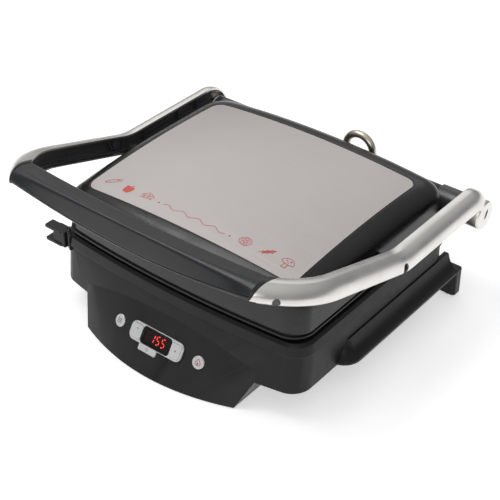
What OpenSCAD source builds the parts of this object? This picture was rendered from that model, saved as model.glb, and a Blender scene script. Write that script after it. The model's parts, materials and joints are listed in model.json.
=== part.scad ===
// Contact grill with a lid, a bowed handle on two side arms and a raised control panel.
// Millimetres. X to the right, Y to the back, Z up. The grill stands on Z = 0 and
// the frame's origin is the middle of its footprint.
// Y values inside the modules count from the panel's top edge; place() moves them.

/* [Overall] */
// half of the base's outer width at its floor
base_half = 166.5; // [150:0.5:180]
// height of the base's floor above the table
floor_z = 30; // [26:0.5:36]
// top of the base's wall, where the rim starts
wall_top_z = 75; // [70:0.5:80]
// top of the rim
rim_top_z = 90; // [86:0.5:94]
// back wall of the base
base_back_y = 285; // [275:0.5:292]
// corner radius of the base in plan
corner_r = 24; // [18:0.5:28]
// wall thickness of the moulded housings
wall = 3; // [2.5:0.1:4]

/* [Plates] */
// how far the cooking plates stand inside the base's sides
plate_inset = 16.5; // [14.5:0.5:26]
// front edge of the cooking plates
plate_front_y = 22; // [20:0.5:26]
// back edge of the cooking plates
plate_back_y = 267; // [255:0.5:269]
// underside of the lower plate
lower_plate_z = 79; // [77:0.5:80]
// thickness of each plate under its ribs
plate_t = 4.5; // [4:0.1:6]
// height of the ribs
rib_h = 4; // [2:0.1:4.4]
// distance from rib to rib
rib_pitch = 9.6; // [8:0.1:14]
// number of ribs on each side of the middle one
rib_side = 13; // [6:1:13]
// upper face of the upper plate
upper_plate_z = 99; // [98.5:0.1:99.5]

/* [Lid] */
// how far the lid's sides stand inside the base's sides
lid_inset = 3.5; // [1.5:0.5:10]
// bottom of the lid's housing
lid_bottom_z = 99.6; // [99:0.1:101]
// front of the lid's housing
lid_front_y = 5; // [3:0.5:9]
// back of the lid's housing
lid_back_y = 281.5; // [276:0.5:282]
// radius of the lid's crown
crown_r = 1300; // [900:10:2500]
// height of the crown's top
crown_z = 163; // [160:0.5:168]
// width of the lid's shoulder beside the steel top plate
shoulder_w = 23; // [21:0.5:28]

/* [Handle] */
// axis of the main hinge, from front to back
hinge_y = 301; // [300:0.5:304]
// axis of the main hinge, height
hinge_z = 110; // [109:0.5:112]
// radius of the hinge pins
pin_r = 6; // [4:0.1:7]
// radial clearance of the pins that turn
pin_gap = 0.06; // [0.02:0.01:0.1]
// gap between the base's sides and the arms
arm_clear = 13.5; // [8:0.5:16]
// width of the arms
arm_w = 20; // [18:0.5:22]
// front of the grip
grip_front_y = -58.8; // [-60:0.1:-58]
// half of the arms' height
arm_h = 12.5; // [10:0.5:14]
// height of the arms' middle line at the back
arm_z = 132.3; // [130:0.1:134]
// rise of the arms towards the grip, per mm
arm_slope = 0.318; // [0.25:0.001:0.36]
// wall of the arms' metal channel
arm_wall = 2.4; // [1.5:0.1:3]
// lid pivot on the arms, from front to back
pivot_y = 144; // [140:0.5:150]
// lid pivot, height
pivot_z = 125.5; // [124.5:0.5:126.5]
// radius of the lid's pivot bolts
pivot_r = 3.4; // [2.8:0.1:4.2]
// wall of the bush around each pivot bolt
bush_wall = 1.1; // [0.8:0.1:1.5]
// distance of the joint between arm and grip inside the arm's inner edge
grip_inset = 23; // [18:0.5:26]

/* [Panel] */
// half width of the panel's lower edge
pod_half_low = 105; // [95:0.5:112]
// half width of the panel where it runs into the front wall
pod_half_high = 132; // [120:0.5:140]
// middle of the display, front to back
face_y = -17.7; // [-20:0.1:-15]
// middle of the display, height
face_z = 35; // [32:0.5:38]
// tilt of the panel's controls from lying flat, degrees
face_tilt = 57.1; // [50:0.1:65]
// bow radius of the panel at the buttons
face_bow = 376; // [300:1:500]
// distance of the round buttons from the middle
round_x = 55; // [50:0.5:60]
// radius of the round buttons
round_r = 7; // [6:0.1:8]
// display window width
window_w = 38; // [30:0.5:42]
// display window height
window_h = 17.4; // [15:0.1:19]
// sideways shift of the power key
power_x = -7; // [-8:0.5:0]
// silver frame width
frame_w = 72; // [66:0.5:76]
// silver frame height
frame_h = 21; // [20:0.5:24]
// width of the plus and minus keys
key_w = 13; // [10:0.5:14]
// height of the plus and minus keys
key_h = 15.6; // [12:0.1:17]
// gap around each key
key_gap = 0.35; // [0.3:0.01:0.6]

/* [Tray] */
// half width of the drip tray's trough
tray_half = 100; // [80:0.5:102]
// front of the drip tray
tray_front_y = 92; // [80:0.5:120]
// underside of the drip tray
tray_z = 9; // [6:0.5:12]

/* [Conduit] */
// radius of the wiring conduit
conduit_r = 4.5; // [3.5:0.1:5.2]
// conduit's leg on the base, sideways
conduit_x0 = 54; // [50:0.5:60]
// conduit's leg on the lid, sideways
conduit_x1 = 18; // [14:0.5:22]
// distance of the conduit behind the panel's edge
conduit_y = 293; // [292:0.5:296]

/* [Hidden] */
eps = 0.02;
board_half = 60;
drain_y = 259.4;
gland_z = 52;
ferrule_z = 58;
bend_r = 6;
rib_w = 4.4;
bush_r = pivot_r + bush_wall;
bow_low = 700;
bow_high = 1400;
front_low = -10;
front_high = 3;
reflector_z = 66;
upper_plate_low = upper_plate_z - plate_t;
tube_r = 3.5;
plate_half = base_half - plate_inset;
lid_half = base_half - lid_inset;
top_half = lid_half - shoulder_w;
top_front_y = 28.1;
top_back_y = 252;
top_bow = 5150;
lug_r = 14;
barrel_r = 16;
lug_in = base_half - 47.5;
lug_out = base_half - 26.5;
barrel_in = lug_out + 0.6;
screw_x = base_half - 26.5;
arm_in = base_half + arm_clear;
arm_out = arm_in + arm_w;
grip_half = arm_in - grip_inset;
curl_y = 280.5;
curl_r = 24;
curl_z = arm_z - curl_r;
bend_y = 143; // where the arms start to rise
in_r = 80; // plan radii of the arms' front bend
out_r = 95;
tray_back_y = 290;
tray_top_z = 26.4;
mid_y = (hinge_y + barrel_r + 1 + grip_front_y) / 2; // middle of the footprint

$fn = 48;

// ---------- placing and plan shapes ----------
module place() { translate([0, -mid_y, 0]) children(); }
module both() { children(); mirror([1, 0, 0]) children(); }
module xcyl(x0, x1, y, z, r) {
  translate([x0, y, z]) rotate([0, 90, 0]) cylinder(h = x1 - x0, r = r);
}
module box(x0, x1, y0, y1, z0, z1) {
  translate([x0, y0, z0]) cube([x1 - x0, y1 - y0, z1 - z0]);
}
// round-cornered upright block
module rbox(x0, x1, y0, y1, z0, z1, r) {
  translate([0, 0, z0]) linear_extrude(z1 - z0) rrect(x0, x1, y0, y1, r);
}
module rrect(x0, x1, y0, y1, r) {
  translate([x0 + r, y0]) square([x1 - x0 - 2 * r, y1 - y0]);
  translate([x0, y0 + r]) square([x1 - x0, y1 - y0 - 2 * r]);
  for (x = [x0 + r, x1 - r], y = [y0 + r, y1 - r]) translate([x, y]) circle(r);
}
function arc(c, r, a0, a1, n) = [for (i = [0 : n]) let (a = a0 + (a1 - a0) * i / n)
  [c[0] + r * cos(a), c[1] + r * sin(a)]];
// plan of the base: front bowed forward, corners rounded
module plan(hw, yf, bow, yb, rc) {
  a = atan((hw - rc) / bow);
  xp = hw - rc + rc * sin(a);
  cf = [hw - rc, yf + xp * xp / (2 * bow) + rc * cos(a)];
  front = [for (i = [-7 : 7]) let (x = xp * i / 8) [x, yf + x * x / (2 * bow)]];
  right = concat(arc(cf, rc, a - 90, 0, 9), arc([hw - rc, yb - rc], rc, 0, 90, 9));
  left = [for (i = [len(right) - 1 : -1 : 0]) [-right[i][0], right[i][1]]];
  polygon(concat(front, right, left));
}
module base_form(t, z0, z1) {
  f0 = (z0 - floor_z) / (wall_top_z - floor_z);
  f1 = (z1 - floor_z) / (wall_top_z - floor_z);
  hull() {
    translate([0, 0, z0]) linear_extrude(eps) plan(base_half - t,
      front_low + (front_high - front_low) * f0 + t, bow_low + f0 * bow_low,
      base_back_y - t, corner_r - t);
    translate([0, 0, z1 - eps]) linear_extrude(eps) plan(base_half - t,
      front_low + (front_high - front_low) * f1 + t, bow_low + f1 * bow_low,
      base_back_y - t, corner_r - t);
  }
}

// ---------- base ----------
// side flare: a cove that runs out from the wall to a thin lip
flare = [[-4, 54], [1.5, 54], [3.6, 47.5], [6.4, 42], [10, 37.6], [14.5, 34.6],
  [15.5, 34], [15.5, 31], [14.5, 30.4], [-4, 30.4]];
module side_flare() {
  translate([base_half, 286, 0]) rotate([90, 0, 0])
    linear_extrude(286 - 95) polygon(flare);
  translate([base_half - 7, 95, 0]) rotate([0, 0, -90]) rotate_extrude(angle = 90)
    polygon([for (p = flare) [max(p[0] + 7, 0.5), p[1]]]);
}
module rear_leg() {
  difference() {
    rbox(base_half - 5, base_half + 16, 282, 297, 2, 34.5, 4);
    translate([base_half + 6, 289.5, 0]) cylinder(h = 4, r = 5.2);
  }
}
module hinge_lug() {
  xcyl(lug_in, lug_out, hinge_y, hinge_z, lug_r);
  box(lug_in, lug_out, base_back_y - 1.5, hinge_y + 10, 52, hinge_z - 6);
}
module base_housing() {
  color([0.10, 0.10, 0.10]) place() difference() {
    union() {
      base_form(0, floor_z, wall_top_z);
      both() side_flare();
      both() rear_leg();
      both() hinge_lug();
    }
    base_form(wall, floor_z - 1, wall_top_z + 1);
    // window for the electronics behind the control panel
    box(-board_half - 0.6, board_half + 0.6, -16, 8, floor_z - 1, 42);
    xcyl(-lug_out - 1, -lug_in - 4, hinge_y, hinge_z, pin_r + 0.01);
    xcyl(lug_in + 4, lug_out + 1, hinge_y, hinge_z, pin_r + 0.01);
    // gland and conduit holes in the back wall
    translate([-62, base_back_y - 6, gland_z]) rotate([-90, 0, 0]) cylinder(h = 12, r = 7);
    translate([conduit_x0, base_back_y - 6, ferrule_z]) rotate([-90, 0, 0]) cylinder(h = 9, r = 6);
    // grille slots in the back wall
    for (x = [-40 : 10 : 30]) box(x, x + 4, base_back_y - 5, base_back_y + 1, 44, 60);
  }
}
module base_rim() {
  color([0.14, 0.14, 0.14]) place() difference() {
    hull() {
      translate([0, 0, wall_top_z + eps]) linear_extrude(1) plan(base_half + 1.9,
        front_high - 2.4, bow_high, base_back_y + 2, corner_r + 1.4);
      translate([0, 0, rim_top_z - 3]) linear_extrude(eps) plan(base_half + 0.1,
        front_high - 0.6, bow_high, base_back_y + 0.6, corner_r);
      translate([0, 0, rim_top_z - eps]) linear_extrude(eps) plan(base_half - 2.5,
        front_high + 2, bow_high, base_back_y - 2, corner_r - 2);
    }
    rbox(-plate_half - 0.6, plate_half + 0.6, plate_front_y - 0.6, plate_back_y + 0.6,
      lower_plate_z - eps, rim_top_z + 1, 10);
    rbox(-plate_half + 4, plate_half - 4, plate_front_y + 4, plate_back_y - 4,
      wall_top_z - 1, rim_top_z, 8);
    translate([0, drain_y, wall_top_z - 1]) cylinder(h = 6, r = 6.8);
    // drip groove around the opening
    difference() {
      rbox(-plate_half - 6.5, plate_half + 6.5, plate_front_y - 6.5, plate_back_y + 6.5,
        rim_top_z - 2, rim_top_z + 1, 14);
      rbox(-plate_half - 3.5, plate_half + 3.5, plate_front_y - 3.5, plate_back_y + 3.5,
        rim_top_z - 3, rim_top_z + 2, 12);
    }
    // pockets that clear the hinge barrels' lugs
    both() box(lug_in - 0.4, lug_out + 0.4, base_back_y - 3.2, base_back_y + 9,
      wall_top_z - 1, rim_top_z + 1);
  }
}
module rails() {
  box(tray_half + 6.6, tray_half + 9.6, tray_front_y - 6, 278, 23.2, floor_z + 0.2);
  box(tray_half + 1.6, tray_half + 9.6, tray_front_y - 6, 278, 20, 23.2);
  // front stop
  box(tray_half - 6, tray_half + 9.6, tray_front_y - 9, tray_front_y - 6, 20,
    floor_z + 0.2);
}
module bottom_cover() {
  color([0.10, 0.10, 0.10]) place() difference() {
    union() {
      translate([0, 0, floor_z]) linear_extrude(3) plan(base_half - 3.6,
        front_low + 4.6, bow_low, base_back_y - 3.4, corner_r - 3.2);
      both() rails();
      for (x = [-118, -46], y = [46, 94]) translate([x, y, floor_z + 2]) cylinder(h = 4, r = 4);
      // pillars under the reflector
      both() for (y = [78, 216]) translate([screw_x - 2, y, floor_z + 2])
        cylinder(h = reflector_z - floor_z - 2.3, r1 = 6, r2 = 4);
    }
    translate([0, drain_y, floor_z - 1]) cylinder(h = 6, r = 6.3);
    box(-board_half - 0.6, board_half + 0.6, -12, -1.5, floor_z - 1, floor_z + 4);
    // vents
    for (x = [-36 : 12 : 36]) box(x - 3, x + 3, 50, 80, floor_z - 1, floor_z + 4);
    both() for (y = [56, 150, 240]) {
      translate([screw_x, y, floor_z - 1]) cylinder(h = 6, r = 2.2);
      translate([screw_x, y, floor_z - 0.5]) cylinder(h = 2.3, r = 4.2);
    }
  }
}
module base_screws() {
  color([0.55, 0.55, 0.56]) place() both() for (y = [56, 150, 240]) {
    translate([screw_x, y, floor_z + 0.4]) cylinder(h = 1.4, r = 4);
    translate([screw_x, y, floor_z + 1.6]) cylinder(h = 9, r = 2);
  }
}

// ---------- control panel ----------
// the panel's body: lower edge strongly bowed, upper edge nearly flat
module pod_form(t, z0, z1) {
  f0 = (z0 - 2) / 60;
  f1 = (z1 - 2) / 60;
  hull() {
    translate([0, 0, z0]) linear_extrude(eps) pod_plan(t, f0);
    translate([0, 0, z1 - eps]) linear_extrude(eps) pod_plan(t, f1);
  }
}
module pod_plan(t, f) {
  hw = pod_half_low + (pod_half_high - pod_half_low) * f - t;
  c = 0.00192 - 0.0011 * f;
  yf = -39 + 38.8 * f + t * 1.2;
  polygon(concat([for (i = [0 : 32]) let (x = -hw + hw * i / 16)
    [x, yf + c * x * x]], [[hw, 34 - t], [-hw, 34 - t]]));
}
module face_at(x, s) {
  translate([0, face_y, face_z]) rotate([face_tilt, 0, 0])
    translate([x, s, -x * x / (2 * face_bow)]) rotate([0, asin(x / face_bow), 0]) children();
}
module slab(w, h, r, z0, z1) { rbox(-w / 2, w / 2, -h / 2, h / 2, z0, z1, r); }
module control_pod() {
  color([0.09, 0.09, 0.09]) place() difference() {
    union() {
      difference() {
        pod_form(0, 1, 62);
        pod_form(2.6, 4.6, 60);
      }
      // board posts
      intersection() {
        pod_form(1, 3, 61);
        for (x = [-40, 40], s = [-11, 10]) face_at(0, 0) translate([x, s, -10.7])
          cylinder(h = 12, r = 2.6);
      }
    }
    base_form(-0.05, floor_z - 0.1, wall_top_z);
    for (x = [-round_x, round_x]) face_at(x, 0) translate([0, 0, -6])
      cylinder(h = 12, r = round_r + key_gap);
    face_at(0, 0) {
      translate([0, 0, -7]) {
        slab(window_w - 0.6, window_h - 0.6, 1.6, 0, 14);
        for (x = [-1, 1]) translate([x * (frame_w / 2 - key_w / 2 - 2.6), 0, 0])
          slab(key_w + 2 * key_gap, key_h + 2 * key_gap, 2.6, 0, 14);
        translate([power_x, -13.4, 0])
          slab(24 + 2 * key_gap, 7.4 + 2 * key_gap, 1.6, 0, 14);
      }
      // seat of the silver frame
      translate([0, 0, -0.6]) slab(frame_w + 0.4, frame_h + 0.4, 7.2, 0, 6);
    }
    for (x = [-70, 70]) translate([x, 5, 0]) cylinder(h = 4, r = 6.1);
  }
}
module panel_frame() {
  color([0.80, 0.80, 0.80]) place() face_at(0, 0) difference() {
    slab(frame_w, frame_h, 7, -0.4, 1.4);
    slab(window_w, window_h, 2, -2, 4);
    for (x = [-1, 1]) translate([x * (frame_w / 2 - key_w / 2 - 2.6), 0, 0])
      slab(key_w + 2 * key_gap, key_h + 2 * key_gap, 2.6, -2, 4);
    translate([power_x, -13.4, 0])
      slab(24 + 2 * key_gap, 7.4 + 2 * key_gap, 1.6, -2, 4);
  }
}
module display_lens() {
  color([0.05, 0.02, 0.02, 0.6]) place() face_at(0, 0)
    slab(window_w - 0.8, window_h - 0.8, 1.8, -0.4, 1.1);
}
module display_module() {
  color([0.12, 0.12, 0.12]) place() face_at(0, 0) {
    slab(34, 14, 0.6, -4.6, -0.8);
    slab(30, 10, 0.6, -10.75, -4.6);
  }
}
module control_board() {
  color([0.10, 0.35, 0.16]) place() face_at(0, 0) difference() {
    union() {
      translate([0, -1, 0]) slab(2 * board_half, 28, 1, -12.4, -10.8);
      translate([-30, 9, 0]) slab(10, 6, 0.5, -10.8, -8.8);
      translate([44, 6, 0]) slab(8, 8, 0.5, -10.8, -9);
    }
  }
}
module key(w, h, r, top, stem) {
  slab(w, h, r, -1.4, top);
  translate([0, 0, stem]) cylinder(h = 0.2 - 1.4 - stem, r = 1.6);
}
module minus_key() {
  color([0.80, 0.80, 0.80]) place() face_at(0, 0)
    translate([-(frame_w / 2 - key_w / 2 - 2.6), 0, 0]) difference() {
      key(key_w, key_h, 2.3, 1.9, -9.6);
      translate([0, 3, 1.75]) slab(3, 0.7, 0.3, 0, 1);
    }
}
module plus_key() {
  color([0.80, 0.80, 0.80]) place() face_at(0, 0)
    translate([frame_w / 2 - key_w / 2 - 2.6, 0, 0]) difference() {
      key(key_w, key_h, 2.3, 1.9, -9.6);
      translate([0, 0, 1.75]) {
        slab(3, 0.7, 0.3, 0, 1);
        slab(0.7, 3, 0.3, 0, 1);
      }
    }
}
module power_key() {
  color([0.80, 0.80, 0.80]) place() face_at(0, 0) translate([power_x, -13.4, 0])
    key(24, 7.4, 1.4, 1.6, -9.6);
}
module round_button(x) {
  place() face_at(x, 0) {
    translate([0, 0, -1.4]) cylinder(h = 2.6, r = round_r);
    translate([0, 0, 1.2]) cylinder(h = 0.8, r1 = round_r, r2 = round_r - 0.8);
    translate([0, 0, -5.4]) cylinder(h = 4.2, r = 1.6);
  }
}
module mode_button() { color([0.82, 0.82, 0.82]) round_button(-round_x); }
module heat_button() { color([0.82, 0.82, 0.82]) round_button(round_x); }
module power_board() {
  color([0.45, 0.36, 0.16]) place() {
    box(-124, -40, 40, 100, floor_z + 6.05, floor_z + 7.65);
    box(-112, -96, 52, 72, floor_z + 7.65, floor_z + 23);
    box(-86, -62, 50, 78, floor_z + 7.65, floor_z + 26);
    for (x = [-58, -50]) translate([x, 90, floor_z + 7.65]) cylinder(h = 12, r = 3.2);
  }
}

// ---------- cooking plates and heaters ----------
module ribs(z0, h) {
  side = min(rib_side, floor((plate_half - 14) / rib_pitch));
  for (i = [-side : side]) translate([i * rib_pitch, plate_back_y - 12, z0])
    rotate([90, 0, 0]) linear_extrude(plate_back_y - plate_front_y - 24)
      polygon([[-rib_w / 2, -0.2], [rib_w / 2, -0.2], [rib_w / 2 - 1.1, h],
        [-rib_w / 2 + 1.1, h]]);
}
module lower_plate() {
  color([0.13, 0.13, 0.14]) place() difference() {
    union() {
      rbox(-plate_half, plate_half, plate_front_y, plate_back_y, lower_plate_z,
        lower_plate_z + plate_t, 9.4);
      ribs(lower_plate_z + plate_t, rib_h);
      difference() {
        rbox(-plate_half, plate_half, plate_front_y, plate_back_y,
          lower_plate_z + plate_t - 1, lower_plate_z + plate_t + rib_h, 9.4);
        rbox(-plate_half + 3, plate_half - 3, plate_front_y + 3, plate_back_y - 3,
          lower_plate_z + plate_t - 2, lower_plate_z + 20, 7);
      }
    }
    // drain hole in the back gutter
    translate([0, drain_y, lower_plate_z - 1]) cylinder(h = 12, r = 3.6);
    // gutter
    difference() {
      rbox(-plate_half + 3, plate_half - 3, plate_front_y + 3, plate_back_y - 3,
        lower_plate_z + plate_t - 1.5, lower_plate_z + 20, 7);
      rbox(-plate_half + 11, plate_half - 11, plate_front_y + 11, plate_back_y - 11,
        lower_plate_z, lower_plate_z + 21, 3);
    }
  }
}
module upper_plate() {
  color([0.13, 0.13, 0.14]) place() {
    rbox(-plate_half, plate_half, plate_front_y, plate_back_y, upper_plate_low,
      upper_plate_z, 9.4);
    translate([0, 0, 2 * upper_plate_low]) mirror([0, 0, 1])
      ribs(upper_plate_low, rib_h);
  }
}
// tubular heater: two long legs each side joined by bends
module heater(z) {
  for (s = [-1, 1]) {
    for (x = [40, 104]) translate([s * x, 206, z]) rotate([90, 0, 0])
      cylinder(h = 140, r = tube_r);
    translate([s * 72, 66, z]) rotate([0, 0, 180]) rotate_extrude(angle = 180)
      translate([32, 0]) circle(tube_r);
  }
  translate([0, 206, z]) rotate_extrude(angle = 180) translate([40, 0]) circle(tube_r);
  for (s = [-1, 1]) translate([s * 104, 206, z]) rotate([-90, 0, 0])
    cylinder(h = 18, r = 2.2);
}
module lower_heater() {
  color([0.30, 0.30, 0.31]) place() heater(lower_plate_z - tube_r - 0.4);
}
module upper_heater() {
  color([0.30, 0.30, 0.31]) place() heater(upper_plate_z + tube_r + 0.4);
}
module lower_reflector() {
  color([0.62, 0.62, 0.63]) place() difference() {
    translate([0, 0, reflector_z]) linear_extrude(1) plan(base_half - 3.2,
      front_high + 2.6, bow_high, base_back_y - 3.6, corner_r - 1);
    translate([0, drain_y, reflector_z - 1]) cylinder(h = 3, r = 7);
    for (x = [-104, 104]) translate([x, 218, reflector_z - 1]) cylinder(h = 3, r = 5);
  }
}
module upper_reflector() {
  color([0.62, 0.62, 0.63]) place() translate([0, 0, 112]) linear_extrude(1)
    plan(lid_half - 4.6, lid_front_y + 4.8, bow_high + 80, lid_back_y - 3.8, 22);
}
module lower_sensor() {
  color([0.75, 0.72, 0.60]) place() translate([0, 120, reflector_z + 1.1])
    cylinder(h = lower_plate_z - reflector_z - 1.3, r = 5);
}
module upper_sensor() {
  color([0.75, 0.72, 0.60]) place() translate([0, 120, upper_plate_z + 0.2])
    cylinder(h = 112 - upper_plate_z - 0.4, r = 5);
}
module drain_tube() {
  color([0.55, 0.55, 0.56]) place() translate([0, drain_y, 0]) difference() {
    union() {
      translate([0, 0, floor_z - 3]) cylinder(h = lower_plate_z - floor_z + 2.6, r = 6);
      translate([0, -9.4, floor_z + 3.1]) cylinder(h = 2, r = 16);
    }
    translate([0, 0, floor_z - 4]) cylinder(h = 60, r = 4.6);
  }
}

// ---------- base fittings ----------
module hinge_pin() { xcyl(lug_in + 4.2, arm_out - 5, hinge_y, hinge_z, pin_r - 0.01); }
module hinge_pin_left() { color([0.6, 0.6, 0.6]) place() mirror([1, 0, 0]) hinge_pin(); }
module hinge_pin_right() { color([0.6, 0.6, 0.6]) place() hinge_pin(); }
module cord_gland() {
  color([0.05, 0.05, 0.05]) place() translate([-62, 0, gland_z]) rotate([-90, 0, 0])
    difference() {
      union() {
        translate([0, 0, base_back_y - 5]) cylinder(h = 6, r = 6.8);
        translate([0, 0, base_back_y + 0.1]) cylinder(h = 3, r = 10);
        translate([0, 0, base_back_y + 3]) cylinder(h = 5, r1 = 8, r2 = 6.5);
      }
      translate([0, 0, base_back_y - 6]) cylinder(h = 20, r = 3.6);
    }
}
module front_feet() {
  color([0.04, 0.04, 0.04]) place() for (x = [-70, 70]) translate([x, 5, 0]) {
    cylinder(h = 0.9, r1 = 6.6, r2 = 7);
    cylinder(h = 3.9, r = 5.9);
  }
}
module rear_feet() {
  color([0.04, 0.04, 0.04]) place() both() translate([base_half + 6, 289.5, 0]) {
    cylinder(h = 1.9, r1 = 5.8, r2 = 6.4);
    cylinder(h = 3.9, r = 5);
  }
}
module side_clip() {
  color([0.08, 0.08, 0.08]) place() difference() {
    union() {
      rbox(-base_half - 11.5, -base_half + 6.5, 9, 22, 68, 88, 1.5);
      for (z = [68, 85]) rbox(-base_half - 23, -base_half + 1.5, 8, 21, z, z + 3, 1.5);
    }
    translate([-base_half + 24.5, 34, 60]) cylinder(h = 40, r = 27.2);
  }
}
module drip_tray() {
  color([0.10, 0.10, 0.10]) place() difference() {
    union() {
      rbox(-tray_half, tray_half, tray_front_y, tray_back_y, tray_z, tray_top_z, 8);
      rbox(-tray_half - 5, tray_half + 5, tray_front_y, tray_back_y - 14, tray_top_z - 2.8,
        tray_top_z, 8);
      rbox(-tray_half - 8, tray_half + 8, tray_back_y - 5, tray_back_y - 1, 5,
        tray_top_z + 2.1, 1.8);
      rbox(-40, 40, tray_back_y - 6, tray_back_y + 11, 5, 9, 3);
    }
    rbox(-tray_half + 2, tray_half - 2, tray_front_y + 2, tray_back_y - 6, tray_z + 2, 40, 6);
  }
}

// ---------- arms and grip ----------
function zc(y) = let (d = bend_y + 12 - y) d < 0 ? arm_z
  : d < 24 ? arm_z + arm_slope * d * d / 48 : arm_z + arm_slope * (d - 12);
// stations: [0, angle] on the curl, [1, inner x, inner y, outer x, outer y] in plan
in_c = [arm_in - in_r, 30];
in_a = acos((grip_half - in_c[0]) / in_r);
out_a = acos((grip_half - arm_out + out_r) / out_r);
out_c = [arm_out - out_r, grip_front_y + 0.7 + out_r * sin(out_a)];
curl_st = [for (a = [-5, 12, 28, 44, 58, 70, 81, 90]) [0, a]];
run_st = [for (y = [230, 155, 149, 143, 137, 131, 80, 50]) [1, arm_in, y, arm_out, y]];
bend_st = [for (i = [0 : 10]) let (t = i / 10) [1,
  in_c[0] + in_r * cos(in_a * t), in_c[1] - in_r * sin(in_a * t),
  out_c[0] + out_r * cos(out_a * t), out_c[1] - out_r * sin(out_a * t)]];
stations = concat(curl_st, run_st, bend_st);
function pt(s, u, v) = s[0] == 0
  ? [arm_in + u * (arm_out - arm_in), curl_y + (curl_r + v) * cos(s[1]),
    curl_z + (curl_r + v) * sin(s[1])]
  : let (x = s[1] + u * (s[3] - s[1]), y = s[2] + u * (s[4] - s[2])) [x, y, zc(y) + v];
module sweep(st, sec) {
  n = len(sec);
  m = len(st);
  polyhedron(points = [for (s = st) for (q = sec) pt(s, q[0], q[1])],
    faces = concat([[for (i = [0 : n - 1]) n - 1 - i]],
      [for (j = [0 : m - 2]) for (i = [0 : n - 1]) for (k = [0, 1]) k == 0
        ? [j * n + i, j * n + (i + 1) % n, (j + 1) * n + (i + 1) % n]
        : [j * n + i, (j + 1) * n + (i + 1) % n, (j + 1) * n + i]],
      [[for (i = [0 : n - 1]) (m - 1) * n + i]]), convexity = 8);
}
// channel section, open towards the lid: leaning crown, nose, crease and lower facet,
// as fractions of the arm's width and of half its height
arm_prof = [[0, 1], [0.25, 0.996], [0.475, 0.92], [0.67, 0.712], [0.825, 0.408],
  [0.935, 0.04], [0.99, -0.312], [1, -0.496], [0.55, -1], [0, -1]];
channel = concat([for (p = arm_prof) [p[0], p[1] * arm_h]],
  [for (i = [len(arm_prof) - 1 : -1 : 0]) let (p = arm_prof[i])
    [p[0] * (1 - arm_wall / arm_w), p[1] * (arm_h - arm_wall)]]);
module front_bolt() {
  translate([out_c[0], out_c[1], zc(-44) - 5]) rotate([0, 90, -42])
    translate([0, 0, out_r]) children();
}
module arm_shell() {
  difference() {
    union() {
      sweep(stations, channel);
      // rounded head over the hinge
      xcyl(arm_in + 1.5, arm_out - 0.4, hinge_y, hinge_z, barrel_r + 1);
    }
    // hollow for the hinge boss, open at the top into the channel
    xcyl(arm_in - 1, arm_out - 3, hinge_y, hinge_z, barrel_r - 1.4);
    hull() for (a = [40, 62]) translate([arm_in - 1, curl_y + curl_r * cos(a),
      curl_z + curl_r * sin(a)]) rotate([0, 90, 0]) cylinder(h = 15, r = 8);
    // fixing holes: lid pivot with its notch, grip, slot behind the hinge
    xcyl(arm_in - 1, arm_out + 2, pivot_y, pivot_z, bush_r + 0.1);
    translate([arm_out - 8, pivot_y - 3.6, pivot_z - 9]) rotate([30, 0, 0])
      translate([0, 0, -3]) cube([10, 6, 10]);
    front_bolt() translate([0, 0, -14]) cylinder(h = 20, r = 4);
    translate([arm_out - 8, hinge_y + 13, hinge_z - 8]) rotate([24, 0, 0])
      cube([12, 3, 11]);
  }
}
module right_arm() { color([0.80, 0.80, 0.79]) place() arm_shell(); }
module left_arm() { color([0.80, 0.80, 0.79]) place() mirror([1, 0, 0]) arm_shell(); }
lin_h = arm_h - arm_wall - 0.5;
liner_sec = [[0.06, lin_h], [0.34, lin_h - 0.3], [0.34, -lin_h + 0.3], [0.06, -lin_h]];
liner_st = concat([for (a = [62, 76, 90]) [0, a]], run_st,
  [for (i = [0 : 9]) bend_st[i]]);
module liner() {
  difference() {
    union() {
      sweep(liner_st, liner_sec);
      xcyl(barrel_in, arm_in - 0.3, hinge_y, hinge_z, barrel_r);
      xcyl(arm_in - 0.5, arm_out - 3.4, hinge_y, hinge_z, barrel_r - 1.8);
      // ribs behind the open side
      for (y = [60, 80, 100, 120]) translate([arm_in + 5, y, zc(y) - 7.6])
        cube([6, 2, 14]);
      // stepped bush: wide towards the lid, narrow through the arm's hole
      xcyl(lid_half + 0.4, arm_in - 0.3, pivot_y, pivot_z, bush_r + 2.1);
      xcyl(arm_in - 1, arm_out - 8.4, pivot_y, pivot_z, bush_r);
    }
    xcyl(barrel_in - 1, arm_out, hinge_y, hinge_z, pin_r + pin_gap);
    xcyl(lid_half - 1, arm_out, pivot_y, pivot_z, pivot_r + 0.01);
  }
}
module right_liner() { color([0.09, 0.09, 0.09]) place() liner(); }
module left_liner() { color([0.09, 0.09, 0.09]) place() mirror([1, 0, 0]) liner(); }
module pivot_bolts() {
  color([0.25, 0.25, 0.25]) place() both() {
    xcyl(lid_half - 8, arm_out - 7, pivot_y, pivot_z, pivot_r - 0.02);
    xcyl(arm_out - 8.2, arm_out - 5.4, pivot_y, pivot_z, bush_r - 0.1);
  }
}
module handle_screws() {
  color([0.25, 0.25, 0.25]) place() both() front_bolt() translate([0, 0, -7])
    cylinder(h = 5.8, r = 3.7);
}
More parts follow.
